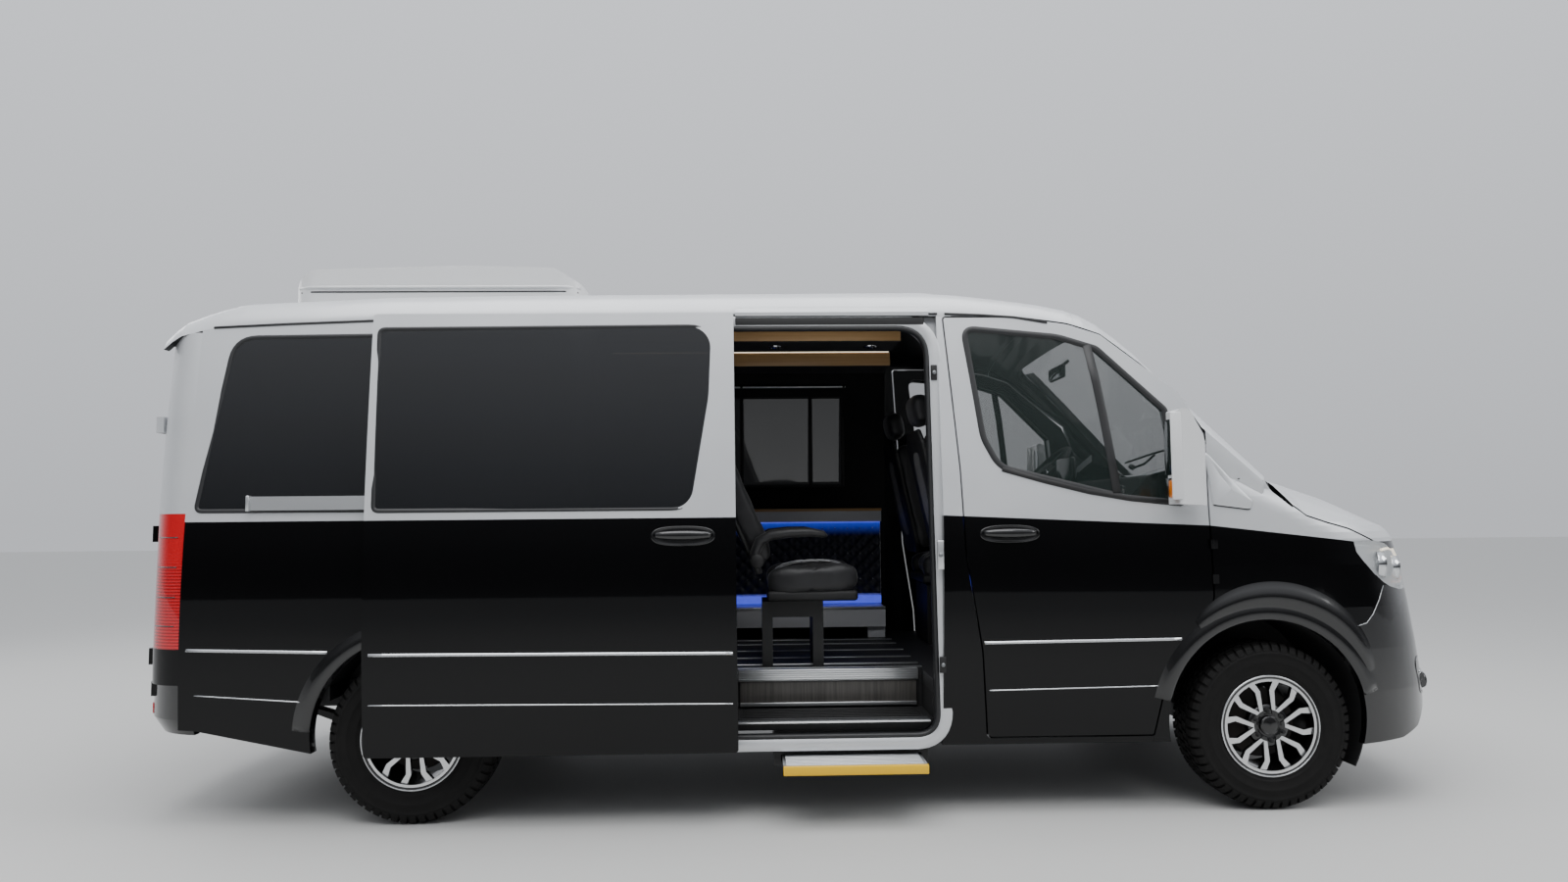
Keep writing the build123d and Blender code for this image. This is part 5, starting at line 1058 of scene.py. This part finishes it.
for k, (x, z) in enumerate(stud_rows):
    lathe("quilt_stud_%d" % k, (x, 794, z), (0, -1, 0), [(6, 0), (6, 3), (3, 5.5), (0.5, 6)], CHROME, 12)
block("quilt_light", (-1034, 770, 1232), (494, 778, 1239), BLUE_LIGHT, 1.5)
block("bench_light", (-1034, 770, 756), (496, 792, 800), BLUE_LIGHT, 4)
block("bench_edge", (-1037, 588, 736), (498, 596, 750), ALUMINIUM, 2)
block("ledge_edge", (-1037, 722, 1302), (500, 732, 1318), BEECH, 3)
for k, z in enumerate((1458, 2000)):
    block("far_window_bar_%d" % k, (-938, 858, z - 9), (283, 880, z + 9), BLACK_GRAIN, 4)
for k, x in enumerate((-938, -330, 90, 283)):
    block("far_window_post_%d" % k, (x - 10, 856, 1450), (x + 10, 880, 2008), BLACK_GRAIN, 4)

# Overhead lockers' beech edges and their lights
block("near_rack_edge", (-995, -482, 2122), (460, -469, 2186), BEECH, 3)
block("near_rack_trim", (-995, -480, 2118), (460, -466, 2123), STEEL_BLACK, 1.5)
block("far_rack_edge", (-1037, 240, 2104), (501, 251, 2176), BEECH, 3)
block("far_rack_light", (-1030, 238, 2178), (494, 250, 2186), WHITE_LIGHT, 2)
tube("curtain_rail", [(-938, 810, 2056), (-300, 810, 2056), (300, 810, 2056)], 6, ALUMINIUM)
for k, x in enumerate((-930, -330, 290)):
    block("curtain_bracket_%d" % k, (x - 8, 804, 2050), (x + 8, 856, 2062), STEEL_BLACK, 2)
for k, x in enumerate((-700, -150, 330)):
    lathe("reading_lamp_%d" % k, (x, -290, 2127), (0, 0, -1), [(34, 0), (34, 5), (28, 9), (24, 5), (1, 6)], CHROME,
          32)

# Driver's place
block("dial_hood", (1392, 300, 1440), (1520, 610, 1515), BLACK_GRAIN, 24)
for k, y in enumerate((385, 525)):
    lathe("dial_%d" % k, (1391, y, 1478), (-1, 0, 0.1), [(48, -3), (48, 2), (44, 4), (42, 0), (1, 0)], CHROME, 40)
block("screen_panel", (1385, -120, 1430), (1412, 140, 1570), BLACK_GLOSS, 8)
for k, y in enumerate((-780, -190, 190, 780)):
    lathe("air_vent_%d" % k, (1402, y, 1360), (-1, 0, 0.2), [(46, -8), (46, 4), (40, 6), (36, 0), (1, -2)],
          BLACK_GLOSS, 32)
    for m in (-1, 0, 1):
        tube("air_vane_%d_%d" % (k, m + 1), [(1397, y - 34, 1360 + 16 * m), (1397, y + 34, 1360 + 16 * m)], 3,
             BLACK_GRAIN)
lathe("wheel_boss", (1408, 450, 1510), (-0.70711, 0, 0.70711), [(62, -22), (62, 6), (56, 14), (30, 20), (1, 21)],
      BLACK_GRAIN, 40)
tube("gear_stem", [(1400, 60, 1240), (1350, 60, 1300)], 9, STEEL_BLACK)
lathe("gear_knob", (1345, 60, 1306), (-0.6, 0, 0.8), [(8, -14), (22, -6), (27, 12), (20, 28), (1, 34)], BLACK_GLOSS,
      28)


# Seats
def cushion_form(size, corner, puff):
    """A rounded box of given length, width and thickness in millimetres, crowned on its faces."""
    lx, ly, lz = [s / 2 for s in size]
    points = []
    rings, around = 14, 48
    for i in range(rings + 1):
        v = -pi / 2 + pi * i / rings
        for u in turns(around):
            cx, cy = squared(cos(u), corner), squared(sin(u), corner)
            flat = squared(cos(v), 0.35)
            high = squared(sin(v), 0.75)
            points.append((lx * cx * flat, ly * cy * flat, lz * high * (1 + puff * (1 - (cx * flat) ** 2) * 0.3)))
    return points, grid_faces(rings + 1, around, ends=True)


def swell(points, faces, cap_mm):
    """A closed form under cloth pressure, moved by at most cap_mm: its new points and faces in millimetres."""
    mesh = bpy.data.meshes.new("swelling")
    mesh.from_pydata([[c * MM for c in p] for p in points], [], faces)
    obj = put("swelling", mesh)
    remesh = obj.modifiers.new("even", "REMESH")
    remesh.mode = "VOXEL"
    remesh.voxel_size = 0.009
    graph = bpy.context.evaluated_depsgraph_get()
    even = bpy.data.meshes.new_from_object(obj.evaluated_get(graph))
    obj.modifiers.clear()
    obj.data = even
    start = [v.co.copy() for v in even.vertices]
    cloth = obj.modifiers.new("swell", "CLOTH")
    cloth.settings.use_pressure = True
    cloth.settings.uniform_pressure_force = 4
    cloth.settings.effector_weights.gravity = 0
    cloth.settings.quality = 5
    for f in range(1, 16):
        bpy.context.scene.frame_set(f)
    graph = bpy.context.evaluated_depsgraph_get()
    swollen = bpy.data.meshes.new_from_object(obj.evaluated_get(graph))
    for vertex, rest in zip(swollen.vertices, start):
        away = vertex.co - rest
        if away.length > cap_mm * MM:
            vertex.co = rest + away.normalized() * cap_mm * MM
    obj.modifiers.clear()
    obj.data = swollen
    bpy.context.scene.frame_set(1)
    new_points = [tuple(v.co / MM) for v in obj.data.vertices]
    new_faces = [tuple(p.vertices) for p in obj.data.polygons]
    bpy.data.objects.remove(obj)
    return new_points, new_faces


SEAT_PAD = swell(*cushion_form((400, 300, 110), 0.45, 0.6), 14)
BOLSTER_PAD = swell(*cushion_form((430, 84, 130), 0.6, 0.4), 9)
BACK_PAD = swell(*cushion_form((560, 290, 84), 0.45, 0.5), 12)
BACK_BOLSTER_PAD = swell(*cushion_form((580, 76, 110), 0.6, 0.4), 8)
HEAD_PAD = swell(*cushion_form((150, 250, 84), 0.55, 0.5), 8)


def pad(name, form, matrix):
    """Places a swollen form with its length, width and thickness along a matrix's axes."""
    points, faces = form
    placed = [tuple(matrix @ Vector(p)) for p in points]
    obj = piece(name, placed, faces, LEATHER, smooth=True)
    return obj


def at(x, y, z, tilt_deg):
    """A place and a lean backwards."""
    return Matrix.Translation((x, y, z)) @ Matrix.Rotation(radians(-tilt_deg), 4, "Y")


def stitch(name, form, matrix, across, run, above):
    """White lockstitch pressed on a pad's face along its length."""
    points, faces = form
    placed = [matrix @ Vector(p) for p in points]
    tree = BVHTree.FromPolygons(placed, faces)
    down = -(matrix.to_3x3() @ Vector((0, 0, 1)))
    path = []
    for i in range(25):
        start = matrix @ Vector((run[0] + (run[1] - run[0]) * i / 24, across, above))
        hit = tree.ray_cast(start, down)[0]
        if hit:
            path.append(tuple(hit - down * 0.6))
    if len(path) > 3:
        tube(name, path, 1.1, WHITE_ABS)


def single_seat(tag, x_front, y, cushion_top, back_top, back_shift=0, recline=0):
    """Seat with a pad, two side bolsters, a back with bolsters and a headrest."""
    base = at(x_front - 222, y, cushion_top - 58, 2)
    cover = pad("seat_pad_" + tag, SEAT_PAD, base)
    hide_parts("seats")
    for k, offset in enumerate((-80, 0, 80)):
        stitch("seat_stitch_%d_%s" % (k, tag), SEAT_PAD, base, offset, (-170, 170), 120)
    for k, way in enumerate((-1, 1)):
        pad("seat_bolster_%d_%s" % (k, tag), BOLSTER_PAD, at(x_front - 225, y + way * 198, cushion_top - 60, 3))
    tall = back_top - cushion_top
    lean = degrees(atan2(140, 650)) + recline
    middle = (x_front - 480 - back_shift, cushion_top + tall * 0.44)
    upright = at(middle[0], y, middle[1], 90 + lean)
    scale = Matrix.Diagonal((min(1.0, (tall - 90) / 560), 1, 1, 1))
    pad("seat_back_" + tag, BACK_PAD, upright @ scale)
    for k, offset in enumerate((-78, 0, 78)):
        stitch("back_stitch_%d_%s" % (k, tag), BACK_PAD, upright @ scale, offset, (-240, 240), -120)
    for k, way in enumerate((-1, 1)):
        pad("back_bolster_%d_%s" % (k, tag), BACK_BOLSTER_PAD,
            at(middle[0] + 12, y + way * 184, middle[1], 90 + lean) @ scale)
    shell = []
    for share in (-1, -0.8, 0, 0.8, 1):
        wide = 224 if abs(share) < 1 else 170
        shell.append([tuple(upright @ Vector((share * tall * 0.43, a, b)))
                      for a, b in ((wide, 30), (wide, 52), (-wide, 52), (-wide, 30))])
    loft("back_shell_" + tag, shell, BLACK_GRAIN, bevel=10)
    head_back = 555 + back_shift + tan(radians(recline)) * tall * 0.55
    pad("headrest_" + tag, HEAD_PAD, at(x_front - head_back, y, back_top - 10 - 3 * recline, 90 + lean))
    block("seat_pan_" + tag, (x_front - 440, y - 236, cushion_top - 160), (x_front - 14, y + 236, cushion_top - 112),
          BLACK_GRAIN, 14)
    if back_shift:
        # Armrests curve up from their pivots and run forward
        line = [(-478, -30), (-492, 20), (-494, 70), (-474, 122), (-420, 150), (-330, 160), (-240, 162), (-175, 152),
                (-158, 142)]
        thick = [16, 22, 24, 24, 24, 23, 21, 16, 5]
        for k, way in enumerate((-1, 1)):
            arm = []
            for i, ((a, b), half) in enumerate(zip(line, thick)):
                before, after = line[max(0, i - 1)], line[min(len(line) - 1, i + 1)]
                dx, dz = after[0] - before[0], after[1] - before[1]
                length = hypot(dx, dz)
                loop = []
                for turn in turns(20):
                    out = half * sin(turn)
                    loop.append((x_front + a - dz / length * out, y + way * 258 + (half + 6) * cos(turn),
                                 cushion_top + b + dx / length * out))
                arm.append(loop)
            rest = loft("armrest_%d_%s" % (k, tag), arm, LEATHER)
            lathe("armrest_pivot_%d_%s" % (k, tag), (x_front - 486, y + way * 285, cushion_top + 30), (0, way, 0),
                  [(34, -12), (34, 2), (28, 7), (1, 8)], BLACK_GRAIN, 32)


single_seat("driver", 1100, 460, 1060, 1790)
single_seat("passenger", 1100, -460, 1060, 1790)
single_seat("captain", 240, -350, 1040, 1700, 95, 11)
for k, y in enumerate((-425, 0, 425)):
    single_seat("bench_%d" % k, -1373, y, 1020, 1680)

# Floor, light and camera
reach = 40
floor_mesh = bpy.data.meshes.new("studio_floor")
floor_mesh.from_pydata([(-reach, -reach, 0), (reach, -reach, 0), (reach, reach, 0), (-reach, reach, 0)], [],
                       [(0, 1, 2, 3)])
floor_mesh.materials.append(moulded_plastic("studio_floor", "#BEBEBC", 0.7, 8.0, 0.2, 0.2))
floor = put("studio_floor", floor_mesh)

world = bpy.data.worlds.new("soft_room")
bpy.context.scene.world = world
world.use_nodes = True
world.node_tree.nodes.clear()
place = add_node(world, "TexCoord")
axes = add_node(world, "SeparateXYZ", Vector=place.outputs["Generated"])
# The room is pale beyond the van and above it, and darker low down in front, which the black sides mirror
front_climb = add_node(world, "MapRange", SMOOTH, Value=axes.outputs["Z"], From_Min=0.0, From_Max=0.75, To_Min=0.05,
                       To_Max=1.25)
back_climb = add_node(world, "MapRange", Value=axes.outputs["Z"], From_Min=0.0, From_Max=0.6, To_Min=0.72,
                      To_Max=1.15)
turn_away = add_node(world, "MapRange", SMOOTH, Value=axes.outputs["Y"], From_Min=-0.35, From_Max=0.45)
level = add_node(world, "Mix", Factor=turn_away, A=front_climb, B=back_climb)
sky = add_node(world, "Background", Color="#EFF2F8", Strength=level)
add_node(world, "OutputWorld", Surface=sky)


def soft_light(name, at_point, aim, size, power):
    data = bpy.data.lights.new(name, "AREA")
    data.shape = "RECTANGLE"
    data.size, data.size_y = size
    data.energy = power
    lamp = put(name, data)
    lamp.location = at_point
    lamp.rotation_euler = (Vector(aim) - Vector(at_point)).to_track_quat("-Z", "Y").to_euler()


soft_light("over", (0, -1.5, 7.5), (0, 0, 1), (9, 5), 430)
soft_light("near", (-1, -6.5, 8.0), (0, 0, 1.0), (9, 3), 330)
soft_light("ahead", (8, -3, 5.0), (1, 0, 1), (4, 3), 130)
soft_light("behind", (-8, 3, 5), (-1, 0, 1), (5, 3), 120)

# Seen from where the photo was taken
eye = Vector((-0.255, -5.492, 1.283))
yaw, pitch, roll = radians(1.64), radians(4.04), radians(-0.52)
ahead = Vector((sin(yaw) * cos(pitch), cos(yaw) * cos(pitch), sin(pitch)))
rightward = Vector((cos(yaw), -sin(yaw), 0))
upward = rightward.cross(ahead)
across = cos(roll) * rightward + sin(roll) * upward
above = -sin(roll) * rightward + cos(roll) * upward
lens = bpy.data.cameras.new("camera")
lens.lens = 24
lens.sensor_width = 36
lens.clip_end = 200
camera = put("camera", lens)
camera.matrix_world = Matrix.Translation(eye) @ Matrix((across, above, -ahead)).transposed().to_4x4()
bpy.context.scene.camera = camera
